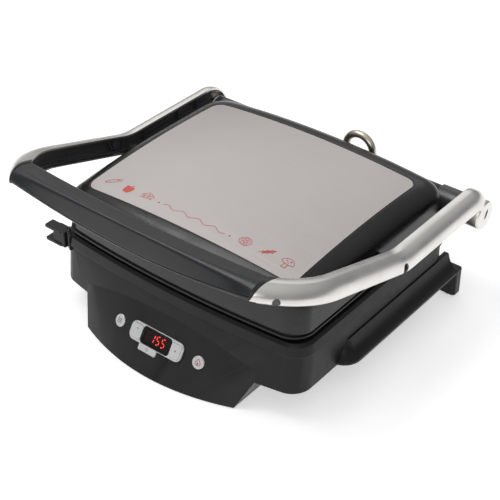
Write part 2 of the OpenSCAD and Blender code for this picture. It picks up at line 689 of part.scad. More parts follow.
// grip profiles, each row: y and z in the middle, then y and height over the arm's middle
// line at the ends, where the section matches the arm's
top_prof = [[-31, 188.4, -26.1, 2.2], [-31.2, 196, -26.1, 11], [-32.2, 197.4, -27, 12.2],
  [-34, 198.2, -30, 12.5], [-50, 202.6, -41.3, 11.5], [-53.4, 203, -47.5, 8.9],
  [-55.4, 201.6, -52.5, 5.1], [grip_front_y, 181, -56, 0.5], [grip_front_y + 0.2, 179, -57.5, -2.4]];
low_prof = [[-31.4, 188, -26.4, 1.8], [-58.3, 178.4, -57.6, -2.9], [-57.8, 176.4, -58, -4.6],
  [-54, 172.5, -58, -6.2], [-48, 170, -51, -9.2], [-38, 169, -43.7, -12.5],
  [-33, 171, -30, -12.5], [-31.4, 178, -26.4, -10]];
function grip_pts(s, prof) = let (q = s * s) [for (p = prof)
  [p[0] + (p[2] - p[0]) * q, p[1] + (zc(p[2]) + p[3] - p[1]) * q]];
module grip_half_shell(prof, lower) {
  m = 24;
  st = [for (i = [0 : m]) -1 + 2 * i / m];
  n = len(prof);
  w = grip_half - 0.3;
  polyhedron(points = [for (s = st) for (p = grip_pts(s, prof)) [s * w, p[0], p[1]]],
    faces = concat([[for (i = [0 : n - 1]) i]],
      [for (j = [0 : m - 1]) for (i = [0 : n - 1]) let (a = j * n + i, b = j * n + (i + 1) % n)
        each lower ? [[a, a + n, b], [a + n, b + n, b]] : [[a, b + n, b], [a, a + n, b + n]]],
      [[for (i = [0 : n - 1]) m * n + n - 1 - i]]), convexity = 6);
}
module grip_upper() { color([0.13, 0.13, 0.14]) place() grip_half_shell(top_prof, false); }
module grip_lower() { color([0.08, 0.08, 0.08]) place() grip_half_shell(low_prof, true); }

// ---------- lid ----------
function crown(x, y) = crown_z - (x * x + (y - 169) * (y - 169)) / (2 * crown_r);
// closed ring of plan points: corners of radius r, sides split for the crown
function side_pts(a, b, k) = [for (i = [1 : k]) a + (b - a) * i / (k + 1)];
function corner_pts(cx, cy, r, a0) = [for (i = [0 : 6]) let (a = a0 + 15 * i)
  [cx + r * cos(a), cy + r * sin(a)]];
function ring(h, f, b, r) = concat(
  corner_pts(h - r, b - r, r, 0), side_pts([h - r, b], [r - h, b], 7),
  corner_pts(r - h, b - r, r, 90), side_pts([-h, b - r], [-h, f + r], 5),
  corner_pts(r - h, f + r, r, 180), side_pts([r - h, f], [h - r, f], 7),
  corner_pts(h - r, f + r, r, 270), side_pts([h, f + r], [h, b - r], 5));
// the front edge bows forward; the bow fades towards the steel plate
function bowed(p) = [p[0], p[1] + (max(0, (32 - p[1]) / 27) + 0.2 * max(0, (150 - p[1]) / 150))
  * p[0] * p[0] / 3200];
// shoulder: [inset, extra inset at the back, drop below the crown]
shoulder = [[0, 0, 27], [0.4, 0, 20], [1.8, 0.3, 14], [4.4, 0.8, 9], [8.4, 1.8, 5],
  [13.5, 3, 2.3], [19, 4.6, 0.8], [22, 5.6, 0.2], [23, 6, 1.6], [45, 7, 1.6],
  [75, 9, 1.6], [105, 11, 1.6]];
// the shoulder is fuller towards the back
function fuller(s, y) = s[0] > 20 ? 1 : 1 - 0.3 * max(0, min(1, (y - 200) / 50));
function lid_ring(s, t) = [for (p0 = ring(lid_half - t - s[0], lid_front_y + t + s[0],
    lid_back_y - t - s[0] - s[1], max(26 - s[0] * 0.55 - t, 4))) let (p = bowed(p0))
  [p[0], p[1], crown(p[0], p[1]) - s[2] * fuller(s, p[1]) - t]];
module lid_solid(t, z0) {
  r0 = [for (p = lid_ring(shoulder[0], t)) [p[0], p[1], z0]];
  all = concat([r0], [for (s = shoulder) lid_ring(s, t)]);
  n = len(r0);
  m = len(all);
  polyhedron(points = concat([for (r = all) each r], [[0, 137, crown(0, 137) - 1.6 - t],
      [0, 137, z0]]),
    faces = concat([for (i = [0 : n - 1]) [i, (i + 1) % n, m * n + 1]],
      [for (j = [0 : m - 2]) for (i = [0 : n - 1]) for (k = [0, 1]) k == 0
        ? [j * n + i, (j + 1) * n + (i + 1) % n, j * n + (i + 1) % n]
        : [j * n + i, (j + 1) * n + i, (j + 1) * n + (i + 1) % n]],
      [for (i = [0 : n - 1]) [(m - 1) * n + (i + 1) % n, (m - 1) * n + i, m * n]]),
    convexity = 8);
}
module lid_housing() {
  color([0.20, 0.20, 0.20]) place() difference() {
    union() {
      difference() {
        lid_solid(0, lid_bottom_z);
        translate([0, 0, -0.4]) lid_solid(wall, lid_bottom_z - 1);
      }
      // pivot bosses inside the side walls
      both() xcyl(lid_half - 11, lid_half - 1, pivot_y, pivot_z, 9);
    }
    both() xcyl(lid_half - 8.4, lid_half + 2, pivot_y, pivot_z, pivot_r + pin_gap);
    translate([conduit_x1, lid_back_y - 6, 128]) rotate([-90, 0, 0]) cylinder(h = 12, r = 6);
  }
}
module lid_top_plate() {
  color([0.72, 0.70, 0.68]) place() intersection() {
    translate([0, 0, 130]) linear_extrude(40)
      plan(top_half - 0.4, top_front_y, top_bow, top_back_y, 12.8);
    difference() {
      translate([0, 169, crown_z - crown_r]) sphere(r = crown_r, $fn = 400);
      translate([0, 169, crown_z - crown_r]) sphere(r = crown_r - 1, $fn = 400);
    }
  }
}
module lid_frame() {
  color([0.10, 0.10, 0.10]) place() difference() {
    union() {
      hull() {
        translate([0, 0, 93.6]) linear_extrude(eps) plan(lid_half - 1.6,
          lid_front_y + 0.6, bow_high, lid_back_y - 1.6, 25);
        translate([0, 0, 95]) linear_extrude(2.4) plan(lid_half + 0.4,
          lid_front_y - 1.4, bow_high, lid_back_y + 0.2, 26);
      }
      translate([0, 0, 97.2]) linear_extrude(2.2) plan(lid_half - 2,
        lid_front_y + 1, bow_high, lid_back_y - 2, 24);
    }
    rbox(-plate_half - 0.6, plate_half + 0.6, plate_front_y - 0.6, plate_back_y + 0.6,
      90, 101, 10);
  }
}
module lid_screws() {
  color([0.4, 0.4, 0.4]) place() both() for (y = [34, 262])
    translate([screw_x, y, upper_plate_z + 0.1]) cylinder(h = 3, r = 3.2);
}

// ---------- wiring conduit ----------
module conduit() {
  xm = (conduit_x0 + conduit_x1) / 2;
  rr = (conduit_x0 - conduit_x1) / 2;
  zl = 128 + bend_r;
  zb = ferrule_z + bend_r;
  zm = 138;
  color([0.70, 0.66, 0.60]) place() {
    translate([conduit_x0, conduit_y, zb]) cylinder(h = zm - zb, r = conduit_r);
    translate([xm, conduit_y, zm]) rotate([90, 0, 0]) rotate_extrude(angle = 180)
      translate([rr, 0]) circle(conduit_r);
    translate([conduit_x1, conduit_y, zl]) cylinder(h = zm - zl, r = conduit_r);
    for (q = [[conduit_x0, zb], [conduit_x1, zl]])
      translate([q[0], conduit_y - bend_r, q[1]]) rotate([0, 90, 0])
        rotate_extrude(angle = 90) translate([bend_r, 0]) circle(conduit_r);
    translate([conduit_x1, conduit_y - bend_r, 128]) rotate([90, 0, 0])
      cylinder(h = conduit_y - bend_r - lid_back_y - 2.4, r = conduit_r);
  }
}
module lid_ferrule() {
  color([0.5, 0.5, 0.5]) place() translate([conduit_x1, 0, 128]) rotate([-90, 0, 0])
    difference() {
      union() {
        translate([0, 0, lid_back_y - 5]) cylinder(h = 6, r = 5.9);
        translate([0, 0, lid_back_y + 0.1]) cylinder(h = 2, r = 8);
      }
      translate([0, 0, lid_back_y - 6]) cylinder(h = 12, r = 4);
    }
}
module base_ferrule() {
  color([0.5, 0.5, 0.5]) place() translate([conduit_x0, 0, ferrule_z]) rotate([-90, 0, 0])
    difference() {
      union() {
        translate([0, 0, base_back_y - 5]) cylinder(h = 6, r = 5.9);
        translate([0, 0, base_back_y + 0.05])
          cylinder(h = conduit_y - bend_r - base_back_y - 0.35, r = 8);
      }
      translate([0, 0, base_back_y - 6]) cylinder(h = 12, r = 4);
    }
}

base_housing();
base_rim();
bottom_cover();
control_pod();
panel_frame();
display_lens();
display_module();
control_board();
power_board();
minus_key();
plus_key();
power_key();
mode_button();
heat_button();
lower_plate();
lower_heater();
lower_reflector();
lower_sensor();
drain_tube();
hinge_pin_left();
hinge_pin_right();
cord_gland();
front_feet();
rear_feet();
side_clip();
base_screws();
drip_tray();
left_arm();
right_arm();
left_liner();
right_liner();
grip_upper();
grip_lower();
handle_screws();
pivot_bolts();
lid_housing();
lid_top_plate();
lid_frame();
upper_plate();
upper_heater();
upper_reflector();
upper_sensor();
lid_screws();
conduit();
lid_ferrule();
base_ferrule();
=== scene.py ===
"""Looks of the contact grill: finishes, smoothed shells, display, prints, lights and camera.

Lengths in the shape code are millimetres measured as in part.scad, where Y counts from the
control panel's top edge; point() turns them into metres in the frame.
"""
import json
import math

import bmesh
import bpy
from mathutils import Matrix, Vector


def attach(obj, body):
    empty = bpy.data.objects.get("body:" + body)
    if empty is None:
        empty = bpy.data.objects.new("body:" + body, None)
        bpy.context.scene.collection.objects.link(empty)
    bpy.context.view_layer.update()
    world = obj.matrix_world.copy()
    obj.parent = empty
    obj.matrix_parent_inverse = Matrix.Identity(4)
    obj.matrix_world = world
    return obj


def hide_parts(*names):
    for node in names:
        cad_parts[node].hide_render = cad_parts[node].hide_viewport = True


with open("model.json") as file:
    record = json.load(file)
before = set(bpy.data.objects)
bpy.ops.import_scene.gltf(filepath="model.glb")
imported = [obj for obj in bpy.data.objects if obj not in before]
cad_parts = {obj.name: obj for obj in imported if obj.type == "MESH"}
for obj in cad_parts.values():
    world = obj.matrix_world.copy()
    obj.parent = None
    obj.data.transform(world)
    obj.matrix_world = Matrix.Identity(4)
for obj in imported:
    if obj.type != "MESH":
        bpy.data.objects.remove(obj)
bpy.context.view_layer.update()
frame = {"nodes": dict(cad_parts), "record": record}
nodes = frame["nodes"]
scene = bpy.context.scene

# ---------------------------------------------------------------- shared sizes (mm)
# arm: inner and outer side, half height, height of its middle line at the back, wall
ARM_IN, ARM_OUT, ARM_H, ARM_Z, ARM_WALL = 180.0, 200.0, 12.5, 132.3, 2.4
ARM_W = ARM_OUT - ARM_IN
# the arm's turned-down rear end
CURL_Y, CURL_R = 280.5, 24.0
CURL_Z = ARM_Z - CURL_R
# where the arm starts to rise to the front, its slope, the length over which it eases in
BEND_Y, SLOPE, EASE = 143.0, 0.318, 24.0
# handle hinge with the liners' barrels and the arms' heads; lid pivot; grip
HINGE_Y, HINGE_Z, BARREL_R = 301.0, 110.0, 16.0
HEAD_R = BARREL_R + 1
PIVOT_Y, PIVOT_Z = 144.0, 125.5
GRIP_HALF, GRIP_FRONT_Y = 157.0, -58.8
# the arm's front corner in plan: arcs of its inner and its outer side, up to the grip
IN_C, IN_R, OUT_R = (100.0, 30.0), 80.0, 95.0
IN_A = math.acos((GRIP_HALF - IN_C[0]) / IN_R)
OUT_A = math.acos((GRIP_HALF - ARM_OUT + OUT_R) / OUT_R)
OUT_C = (ARM_OUT - OUT_R, GRIP_FRONT_Y + 0.7 + OUT_R * math.sin(OUT_A))
# middle of the footprint, between the heads' back and the grip's front
MID_Y = (HINGE_Y + HEAD_R + GRIP_FRONT_Y) / 2
LID_HALF, LID_FRONT_Y, LID_BACK_Y, LID_BOTTOM_Z, LID_CORNER = 163.0, 5.0, 281.5, 99.6, 26
# the lid's dome: radius, height and place of its top
CROWN_R, CROWN_Z, CROWN_Y = 1300.0, 163.0, 169.0
# the control panel's face: slope, Y and Z where s and h are 0, radius of its bow
FACE_TILT, FACE_Y, FACE_Z, FACE_BOW = math.radians(57.1), -17.7, 35.0, 376.0
# across the panel: round buttons, power key, minus and plus keys
ROUND_X, POWER_X, KEY_X = 55.0, -7.0, 26.9
SIDES = {-1: "left", 1: "right"}


def point(x, y, z):
    """Millimetres of part.scad's modules to metres in the frame."""
    return Vector((x, y - MID_Y, z)) / 1000.0


def on_face(x, s, h):
    """A point on the control panel: x across, s up the slope, h out of it."""
    return point(x, FACE_Y + s * math.cos(FACE_TILT) - h * math.sin(FACE_TILT),
                 FACE_Z + s * math.sin(FACE_TILT) + h * math.cos(FACE_TILT))


def on_button(x, dx, ds, h):
    """A point on a round button that stands at x on the bowed panel."""
    turn = math.asin(x / FACE_BOW)
    return on_face(x + dx * math.cos(turn) + h * math.sin(turn), ds,
                   -x * x / (2 * FACE_BOW) - dx * math.sin(turn) + h * math.cos(turn))


def crown(x, y):
    """Height of the lid's domed top."""
    return CROWN_Z - (x * x + (y - CROWN_Y) ** 2) / (2 * CROWN_R)


# ---------------------------------------------------------------- materials
# roughness of a clear coat; bump of brushing without grain; darkest streak of a brushed face
COAT_ROUGH, BRUSH_BUMP, STREAK_SHADE = 0.12, 0.15, 0.93
# gloss patches are finer than tone patches by this factor
GLOSS_FINER = 2.3
# how pointed an edge is where wear starts and where it is full
WEAR_START, WEAR_FULL = 0.52, 0.62


def node_link(tree, source, target):
    """Joins an output socket to an input socket."""
    tree.links.new(source, target)


def noise(tree, coords, scale, detail=3.0, roughness=0.55):
    """Noise value at the coordinates."""
    tex = tree.nodes.new("ShaderNodeTexNoise")
    tex.inputs["Scale"].default_value = scale
    tex.inputs["Detail"].default_value = detail
    tex.inputs["Roughness"].default_value = roughness
    node_link(tree, coords, tex.inputs["Vector"])
    return tex.outputs["Fac"]


def span(tree, value, low, high, start=0.3, end=0.7):
    """Maps a noise value to low..high."""
    ranged = tree.nodes.new("ShaderNodeMapRange")
    ranged.inputs["From Min"].default_value = start
    ranged.inputs["From Max"].default_value = end
    ranged.inputs["To Min"].default_value = low
    ranged.inputs["To Max"].default_value = high
    node_link(tree, value, ranged.inputs["Value"])
    return ranged.outputs["Result"]


def stretched(tree, coords, scale):
    """Coordinates scaled along each axis by its own factor."""
    mapping = tree.nodes.new("ShaderNodeMapping")
    mapping.inputs["Scale"].default_value = scale
    node_link(tree, coords, mapping.inputs["Vector"])
    return mapping.outputs["Vector"]


def color_mix(tree):
    """A node that mixes two colours."""
    mix = tree.nodes.new("ShaderNodeMix")
    mix.data_type = "RGBA"
    return mix


def finish_material(name, color, rough=0.4, metal=0.0, tone=0.12, patch=18.0, rough_spread=0.06,
                    grain=0.0, grain_scale=1400.0, grain_depth=0.00004, brushed=None, wear=0.0,
                    wear_color=None, coat=0.0, emission=None, alpha=1.0, tint=None, gloss=0.5):
    """A procedural finish: tone and gloss vary in patches, fine grain or brushing as bump,
    edges a little worn. tint is a second colour that the patches lean to."""
    mat = bpy.data.materials.new(name)
    mat.use_nodes = True
    tree = mat.node_tree
    shader = tree.nodes["Principled BSDF"]
    coords = tree.nodes.new("ShaderNodeTexCoord").outputs["Object"]
    shader.inputs["Metallic"].default_value = metal
    shader.inputs["Coat Weight"].default_value = coat
    shader.inputs["Specular IOR Level"].default_value = gloss
    shader.inputs["Alpha"].default_value = alpha
    if coat:
        shader.inputs["Coat Roughness"].default_value = COAT_ROUGH
    base = color_mix(tree)
    second = tint or tuple(min(1.0, c * (1 + tone)) for c in color)
    base.inputs["A"].default_value = (*[c * (1 - tone) for c in color], 1)
    base.inputs["B"].default_value = (*second, 1)
    node_link(tree, span(tree, noise(tree, coords, patch), 0.0, 1.0), base.inputs["Factor"])
    shade = base.outputs["Result"]
    if brushed:
        varied = noise(tree, stretched(tree, coords, brushed), 1.0, 2.0, 0.6)
        streaks = color_mix(tree)
        streaks.blend_type = "MULTIPLY"
        streaks.inputs["Factor"].default_value = 1.0
        node_link(tree, shade, streaks.inputs["A"])
        node_link(tree, span(tree, varied, STREAK_SHADE, 1.0), streaks.inputs["B"])
        shade = streaks.outputs["Result"]
    else:
        varied = noise(tree, coords, patch * GLOSS_FINER)
    node_link(tree, span(tree, varied, rough - rough_spread, rough + rough_spread),
              shader.inputs["Roughness"])
    if wear:
        pointed = tree.nodes.new("ShaderNodeNewGeometry").outputs["Pointiness"]
        worn = color_mix(tree)
        node_link(tree, span(tree, pointed, 0.0, wear, WEAR_START, WEAR_FULL),
                  worn.inputs["Factor"])
        node_link(tree, shade, worn.inputs["A"])
        worn.inputs["B"].default_value = (*wear_color, 1)
        shade = worn.outputs["Result"]
    node_link(tree, shade, shader.inputs["Base Color"])
    if grain or brushed:
        bump = tree.nodes.new("ShaderNodeBump")
        bump.inputs["Strength"].default_value = grain or BRUSH_BUMP
        bump.inputs["Distance"].default_value = grain_depth
        fine = varied if brushed else noise(tree, coords, grain_scale, 2.0)
        node_link(tree, fine, bump.inputs["Height"])
        node_link(tree, bump.outputs["Normal"], shader.inputs["Normal"])
    if emission:
        glow, strength = emission
        shader.inputs["Emission Color"].default_value = (*glow, 1)
        shader.inputs["Emission Strength"].default_value = strength
    return mat


FINISHES = {
    "black_moulding": dict(color=(0.010, 0.010, 0.0105), rough=0.36, grain=0.35, gloss=0.24,
                           wear=0.25, wear_color=(0.09, 0.09, 0.09)),
    "lid_black": dict(color=(0.012, 0.0115, 0.0115), rough=0.28, grain=0.2, gloss=0.38,
                      wear=0.2, wear_color=(0.1, 0.1, 0.1)),
    "grip": dict(color=(0.020, 0.0205, 0.0225), rough=0.36, grain=0.3, gloss=0.36,
                 wear=0.2, wear_color=(0.12, 0.12, 0.12)),
    "black_inner": dict(color=(0.028, 0.028, 0.03), rough=0.45, grain=0.5, grain_scale=700.0),
    "silver_metal": dict(color=(0.77, 0.75, 0.72), rough=0.31, metal=1.0, tone=0.05,
                         grain=0.08, grain_scale=900.0),
    "silver_trim": dict(color=(0.80, 0.80, 0.81), rough=0.32, metal=0.25, tone=0.04, grain=0.08),
    "brushed_plate": dict(color=(0.565, 0.525, 0.512), rough=0.42, metal=0.9, tone=0.03,
                          patch=5.0, brushed=(14.0, 1300.0, 14.0), grain=0.12),
    "dark_window": dict(color=(0.012, 0.006, 0.008), rough=0.08, tone=0.2, rough_spread=0.02,
                        coat=0.6, alpha=0.42),
    "board": dict(color=(0.06, 0.2, 0.09), rough=0.5, grain=0.3),
    "grill_plate": dict(color=(0.035, 0.035, 0.037), rough=0.45, metal=0.35, grain=0.7,
                        grain_scale=500.0, grain_depth=0.0001, wear=0.3,
                        wear_color=(0.16, 0.15, 0.14)),
    "heater": dict(color=(0.22, 0.2, 0.2), metal=1.0, tint=(0.3, 0.24, 0.2)),
    "reflector": dict(color=(0.62, 0.62, 0.63), rough=0.3, metal=1.0,
                      brushed=(10.0, 700.0, 10.0), tint=(0.66, 0.6, 0.5)),
    "sensor": dict(color=(0.62, 0.5, 0.25), rough=0.35, metal=1.0),
    "plain_metal": dict(color=(0.5, 0.5, 0.51), rough=0.35, metal=1.0, grain=0.3),
    "dark_metal": dict(color=(0.09, 0.09, 0.095), metal=0.9, grain=0.3),
    "rubber": dict(color=(0.02, 0.02, 0.02), rough=0.75, grain=0.6, grain_scale=900.0),
    "window_black": dict(color=(0.008, 0.007, 0.008), rough=0.16),
    # the liner is the same dark moulding as black_inner; its lighter grey is a painted sheen where
    # its floor catches light
    "liner_grey_painted_sheen": dict(color=(0.045, 0.045, 0.049), rough=0.33, grain=0.3, gloss=0.6),
    "print_red": dict(color=(0.55, 0.075, 0.055), rough=0.45, tone=0.1, patch=60.0),
    "lit_red": dict(color=(0.5, 0.02, 0.02), emission=((1.0, 0.06, 0.04), 5.0)),
    # the unlit segments and dots glow faintly: a painted glow, since they are switched off
    "unlit_red": dict(color=(0.05, 0.008, 0.008), emission=((1.0, 0.05, 0.05), 0.05)),
    "mark_grey": dict(color=(0.16, 0.16, 0.17), rough=0.5),
    "conduit": dict(color=(0.62, 0.56, 0.48), rough=0.3, metal=1.0, tone=0.08,
                    tint=(0.7, 0.66, 0.58), grain=0.2),
}
MATERIALS = {name: finish_material(name, **look) for name, look in FINISHES.items()}
slots = {part["node"]: part["material_slot"] for part in frame["record"]["subparts"]}
for node, obj in nodes.items():
    obj.data.materials.clear()
    obj.data.materials.append(MATERIALS[slots[node]])


# ---------------------------------------------------------------- smoothing of shells
# edges that turn by more degrees than this stay sharp, and on some CAD shells get a bevel
SMOOTH_LIMIT, BEVEL_LIMIT = 28, 30
BEVEL_STEPS = 2
# points closer than this are one (m): on the CAD shells, and on the pieces made here
CAD_WELD, PIECE_WELD = 0.00001, 2e-6


def smoothing_group():
    """Geometry nodes: shade smooth, but keep the sharper edges."""
    group = bpy.data.node_groups.new(f"smooth_{SMOOTH_LIMIT}", "GeometryNodeTree")
    group.interface.new_socket("Geometry", in_out="INPUT", socket_type="NodeSocketGeometry")
    group.interface.new_socket("Geometry", in_out="OUTPUT", socket_type="NodeSocketGeometry")
    start = group.nodes.new("NodeGroupInput")
    end = group.nodes.new("NodeGroupOutput")
    faces = group.nodes.new("GeometryNodeSetShadeSmooth")
    faces.domain = "FACE"
    edges = group.nodes.new("GeometryNodeSetShadeSmooth")
    edges.domain = "EDGE"
    edges.inputs["Shade Smooth"].default_value = False
    angle = group.nodes.new("GeometryNodeInputMeshEdgeAngle")
    compare = group.nodes.new("FunctionNodeCompare")
    compare.data_type = "FLOAT"
    compare.operation = "GREATER_THAN"
    compare.inputs["B"].default_value = math.radians(SMOOTH_LIMIT)
    node_link(group, start.outputs[0], faces.inputs["Geometry"])
    node_link(group, faces.outputs["Geometry"], edges.inputs["Geometry"])
    node_link(group, angle.outputs["Unsigned Angle"], compare.inputs["A"])
    node_link(group, compare.outputs["Result"], edges.inputs["Selection"])
    node_link(group, edges.outputs["Geometry"], end.inputs[0])
    return group


SMOOTH = smoothing_group()


def soften(obj, edge_mm):
    """Welds a shell, rounds its edges and smooths it, as modifiers only."""
    weld = obj.modifiers.new("weld", "WELD")
    weld.merge_threshold = CAD_WELD
    if edge_mm:
        bevel = obj.modifiers.new("edge", "BEVEL")
        bevel.width = edge_mm / 1000
        bevel.segments = BEVEL_STEPS
        bevel.limit_method = "ANGLE"
        bevel.angle_limit = math.radians(BEVEL_LIMIT)
        bevel.use_clamp_overlap = True
    smooth = obj.modifiers.new("smooth", "NODES")
    smooth.node_group = SMOOTH
    even = obj.modifiers.new("even", "WEIGHTED_NORMAL")
    even.weight = 100
    even.keep_sharp = True


# width of the rounded edges (mm)
EDGES = {"base_housing": 0.8, "base_rim": 1.2, "lid_frame": 0.5, "drip_tray": 0.8,
         "bottom_cover": 0.4, "side_clip": 0.5, "panel_frame": 0.35, "minus_key": 0.3,
         "plus_key": 0.3, "power_key": 0.3, "lower_plate": 0.5, "upper_plate": 0.5}
for node, obj in nodes.items():
    soften(obj, EDGES.get(node, 0.0))


# ---------------------------------------------------------------- shape helpers
def mesh_object(name, points, faces, weld=False):
    """An object from points in metres, its faces turned outwards."""
    mesh = bpy.data.meshes.new(name)
    mesh.from_pydata([tuple(p) for p in points], [], faces)
    work = bmesh.new()
    work.from_mesh(mesh)
    if weld:
        bmesh.ops.remove_doubles(work, verts=work.verts, dist=PIECE_WELD)
    bmesh.ops.recalc_face_normals(work, faces=work.faces)
    work.to_mesh(mesh)
    work.free()
    obj = bpy.data.objects.new(name, mesh)
    scene.collection.objects.link(obj)
    return obj


def make(name, body, points, faces, material, replaces=(), slot=None, smooth=True):
    """A piece from points in metres; it rides on a body and may stand for CAD nodes."""
    obj = mesh_object(name, points, faces, weld=True)
    obj.data.materials.append(material)
    if smooth:
        obj.modifiers.new("smooth", "NODES").node_group = SMOOTH
    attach(obj, body)
    if replaces:
        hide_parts(*replaces)
    return obj


def spline(knots, steps):
    """Catmull-Rom curve through knots of any dimension."""
    out = []
    for i in range(len(knots) - 1):
        a, b = knots[i], knots[i + 1]
        before = knots[i - 1] if i else [2 * p - q for p, q in zip(a, b)]
        after = knots[i + 2] if i + 2 < len(knots) else [2 * q - p for p, q in zip(a, b)]
        for k in range(steps):
            t = k / steps
            out.append(tuple(
                0.5 * (2 * q + (r - p) * t + (2 * p - 5 * q + 4 * r - s) * t * t
                       + (3 * q - p - 3 * r + s) * t ** 3)
                for p, q, r, s in zip(before, a, b, after)))
    out.append(tuple(knots[-1]))
    return out


def rounded(loop, radius, steps, most=0.42):
    """A closed 2-D loop with each corner replaced by a short curve, which takes up no more
    than the given share of a side."""
    out = []
    for i, corner in enumerate(loop):
        before, after = loop[i - 1], loop[(i + 1) % len(loop)]
        la, lb = math.dist(before, corner), math.dist(corner, after)
        ra, rb = min(radius, la * most), min(radius, lb * most)
        start = [c + (p - c) * ra / la for c, p in zip(corner, before)]
        end = [c + (p - c) * rb / lb for c, p in zip(corner, after)]
        for k in range(steps + 1):
            t = k / steps
            out.append(tuple((1 - t) ** 2 * s + 2 * t * (1 - t) * c + t * t * e
                             for s, c, e in zip(start, corner, end)))
    return out


def skin(rings, closed_ends=True):
    """Faces between equal closed rings of points, with or without end caps."""
    count = len(rings[0])
    points = [p for ring in rings for p in ring]
    faces = [(j * count + i, j * count + (i + 1) % count, (j + 1) * count + (i + 1) % count,
              (j + 1) * count + i) for j in range(len(rings) - 1) for i in range(count)]
    if closed_ends:
        faces.append(tuple(range(count))[::-1])
        faces.append(tuple((len(rings) - 1) * count + i for i in range(count)))
    return points, faces


def joined(*parts):
    """Several (points, faces) sets as one."""
    points, faces = [], []
    for some, their in parts:
        shift = len(points)
        points += list(some)
        faces += [tuple(i + shift for i in face) for face in their]
    return points, faces


def turned_x(profile, y, z, side, segments=48):
    """Profile [(x, radius)] turned about an axis along X, closed at both ends."""
    rings = [[point(side * x, y + r * math.cos(math.tau * k / segments),
                    z + r * math.sin(math.tau * k / segments)) for k in range(segments)]
             for x, r in profile]
    return skin(rings)


def ribbon(track, width, closed=False):
    """A flat band of even width along a 2-D track: points and faces in 2-D."""
    count = len(track)
    points, faces = [], []
    for i, (x, y) in enumerate(track):
        before = track[i - 1] if i or closed else track[i]
        after = track[(i + 1) % count] if i + 1 < count or closed else track[i]
        dx, dy = after[0] - before[0], after[1] - before[1]
        size = math.hypot(dx, dy) or 1.0
        nx, ny = -dy / size * width / 2, dx / size * width / 2
        points += [(x + nx, y + ny), (x - nx, y - ny)]
    for i in range(count if closed else count - 1):
        a, b = 2 * i, 2 * ((i + 1) % count)
        faces.append((a, a + 1, b + 1, b))
    return points, faces


def round_track(cx, cy, rx, ry=None, start=0.0, end=360.0, steps=20):
    """Points round a circle, an ellipse or a part of one; the angles are in degrees."""
    ry = ry or rx
    last = steps if end - start < 360 else steps - 1
    return [(cx + rx * math.cos(math.radians(start + (end - start) * k / steps)),
             cy + ry * math.sin(math.radians(start + (end - start) * k / steps)))
            for k in range(last + 1)]


def across(side, near, far, outline):
    """Two rings: an outline [(y, z)] at x = near and at x = far on one side."""
    return [[point(side * x, y, z) for y, z in outline] for x in (near, far)]


def cutter(name, rings):
    """A mesh to cut with; cut() removes it."""
    return mesh_object(name, *skin(rings))


def cut(obj, *tools):
    """Cuts the tools out of a piece's mesh and removes them."""
    for tool in tools:
        step = obj.modifiers.new("cut", "BOOLEAN")
        step.operation = "DIFFERENCE"
        step.solver = "EXACT"
        step.object = tool
        bpy.context.view_layer.update()
        # the smoothing stays a modifier, so it is switched off while the cut is applied
        shown = obj.modifiers["smooth"]
        shown.show_viewport = False
        result = bpy.data.meshes.new_from_object(
            obj.evaluated_get(bpy.context.evaluated_depsgraph_get()))
        shown.show_viewport = True
        obj.modifiers.remove(step)
        obj.data = result
        bpy.data.objects.remove(tool)


# ---------------------------------------------------------------- arms
def arm_height(y):
    """Height of the arm's middle line: level at the back, rising to the front."""
    d = BEND_Y + EASE / 2 - y
    if d < 0:
        return ARM_Z
    if d < EASE:
        return ARM_Z + SLOPE * d * d / (2 * EASE)
    return ARM_Z + SLOPE * (d - EASE / 2)


def arm_station(u, v, kind, t):
    """A point on the arm, in millimetres: u is the share of the way from its inner to its outer
    side, v the height over its middle line. t is the angle round the turned-down end, the Y on
    the run, or the share of the front corner."""
    if kind == "curl":
        a = math.radians(t)
        return (ARM_IN + u * ARM_W, CURL_Y + (CURL_R + v) * math.cos(a),
                CURL_Z + (CURL_R + v) * math.sin(a))
    if kind == "run":
        return (ARM_IN + u * ARM_W, t, arm_height(t) + v)
    inner = (IN_C[0] + IN_R * math.cos(IN_A * t), IN_C[1] - IN_R * math.sin(IN_A * t))
    outer = (OUT_C[0] + OUT_R * math.cos(OUT_A * t), OUT_C[1] - OUT_R * math.sin(OUT_A * t))
    x, y = (p + u * (q - p) for p, q in zip(inner, outer))
    return (x, y, arm_height(y) + v)


def station_ring(side, section, kind, t):
    """A section [(u, v)] of the arm as a ring of points at one station."""
    return [point(side * x, y, z)
            for x, y, z in (arm_station(u, v, kind, t) for u, v in section)]


# stations from the turned-down end along the run and round the front corner
ARM_PATH = ([("curl", a) for a in range(-5, 90, 4)]
            + [("run", y) for y in (280.5, 272, 262, 250, 235, 220, 205, 190, 178, 168, 161)]
            + [("run", 158 - i) for i in range(0, 32, 2)]
            + [("run", y) for y in (122, 112, 100, 85, 70, 55, 42)]
            + [("bend", i / 26) for i in range(27)])
# the crown in section, as shares of the width and of the half height
CROWN_LINE = spline([(0.035, 1.0), (0.25, 0.996), (0.475, 0.92), (0.67, 0.712), (0.825, 0.408),
                     (0.935, 0.04), (0.985, -0.3), (1.0, -0.47)], 4)


def arm_section(groove):
    """Closed section [(u, v)] of the channel: outside from the inner top edge over the crown and
    the crease to the foot, then back along the inside. groove is the crease's share of its full
    depth."""
    outer = ([(0.0, 0.965), (0.008, 0.988)] + [(min(1.0, u), v) for u, v in CROWN_LINE]
             + [(0.998, -0.50), (0.99 - 0.045 * groove, -0.525), (0.985 - 0.05 * groove, -0.555),
                (0.975 - 0.012 * groove, -0.59), (0.93, -0.635), (0.63, -0.94),
                (0.585, -0.978), (0.54, -1.0), (0.03, -1.0), (0.0, -0.97)])
    inner = [(0.0, -1), (0.55, -1), (1, -0.496), (0.935, 0.04), (0.825, 0.408), (0.67, 0.712),
             (0.475, 0.92), (0.25, 0.996), (0, 1)]
    return ([(u, v * ARM_H) for u, v in outer]
            + [(u * (1 - ARM_WALL / ARM_W), v * (ARM_H - ARM_WALL)) for u, v in inner])


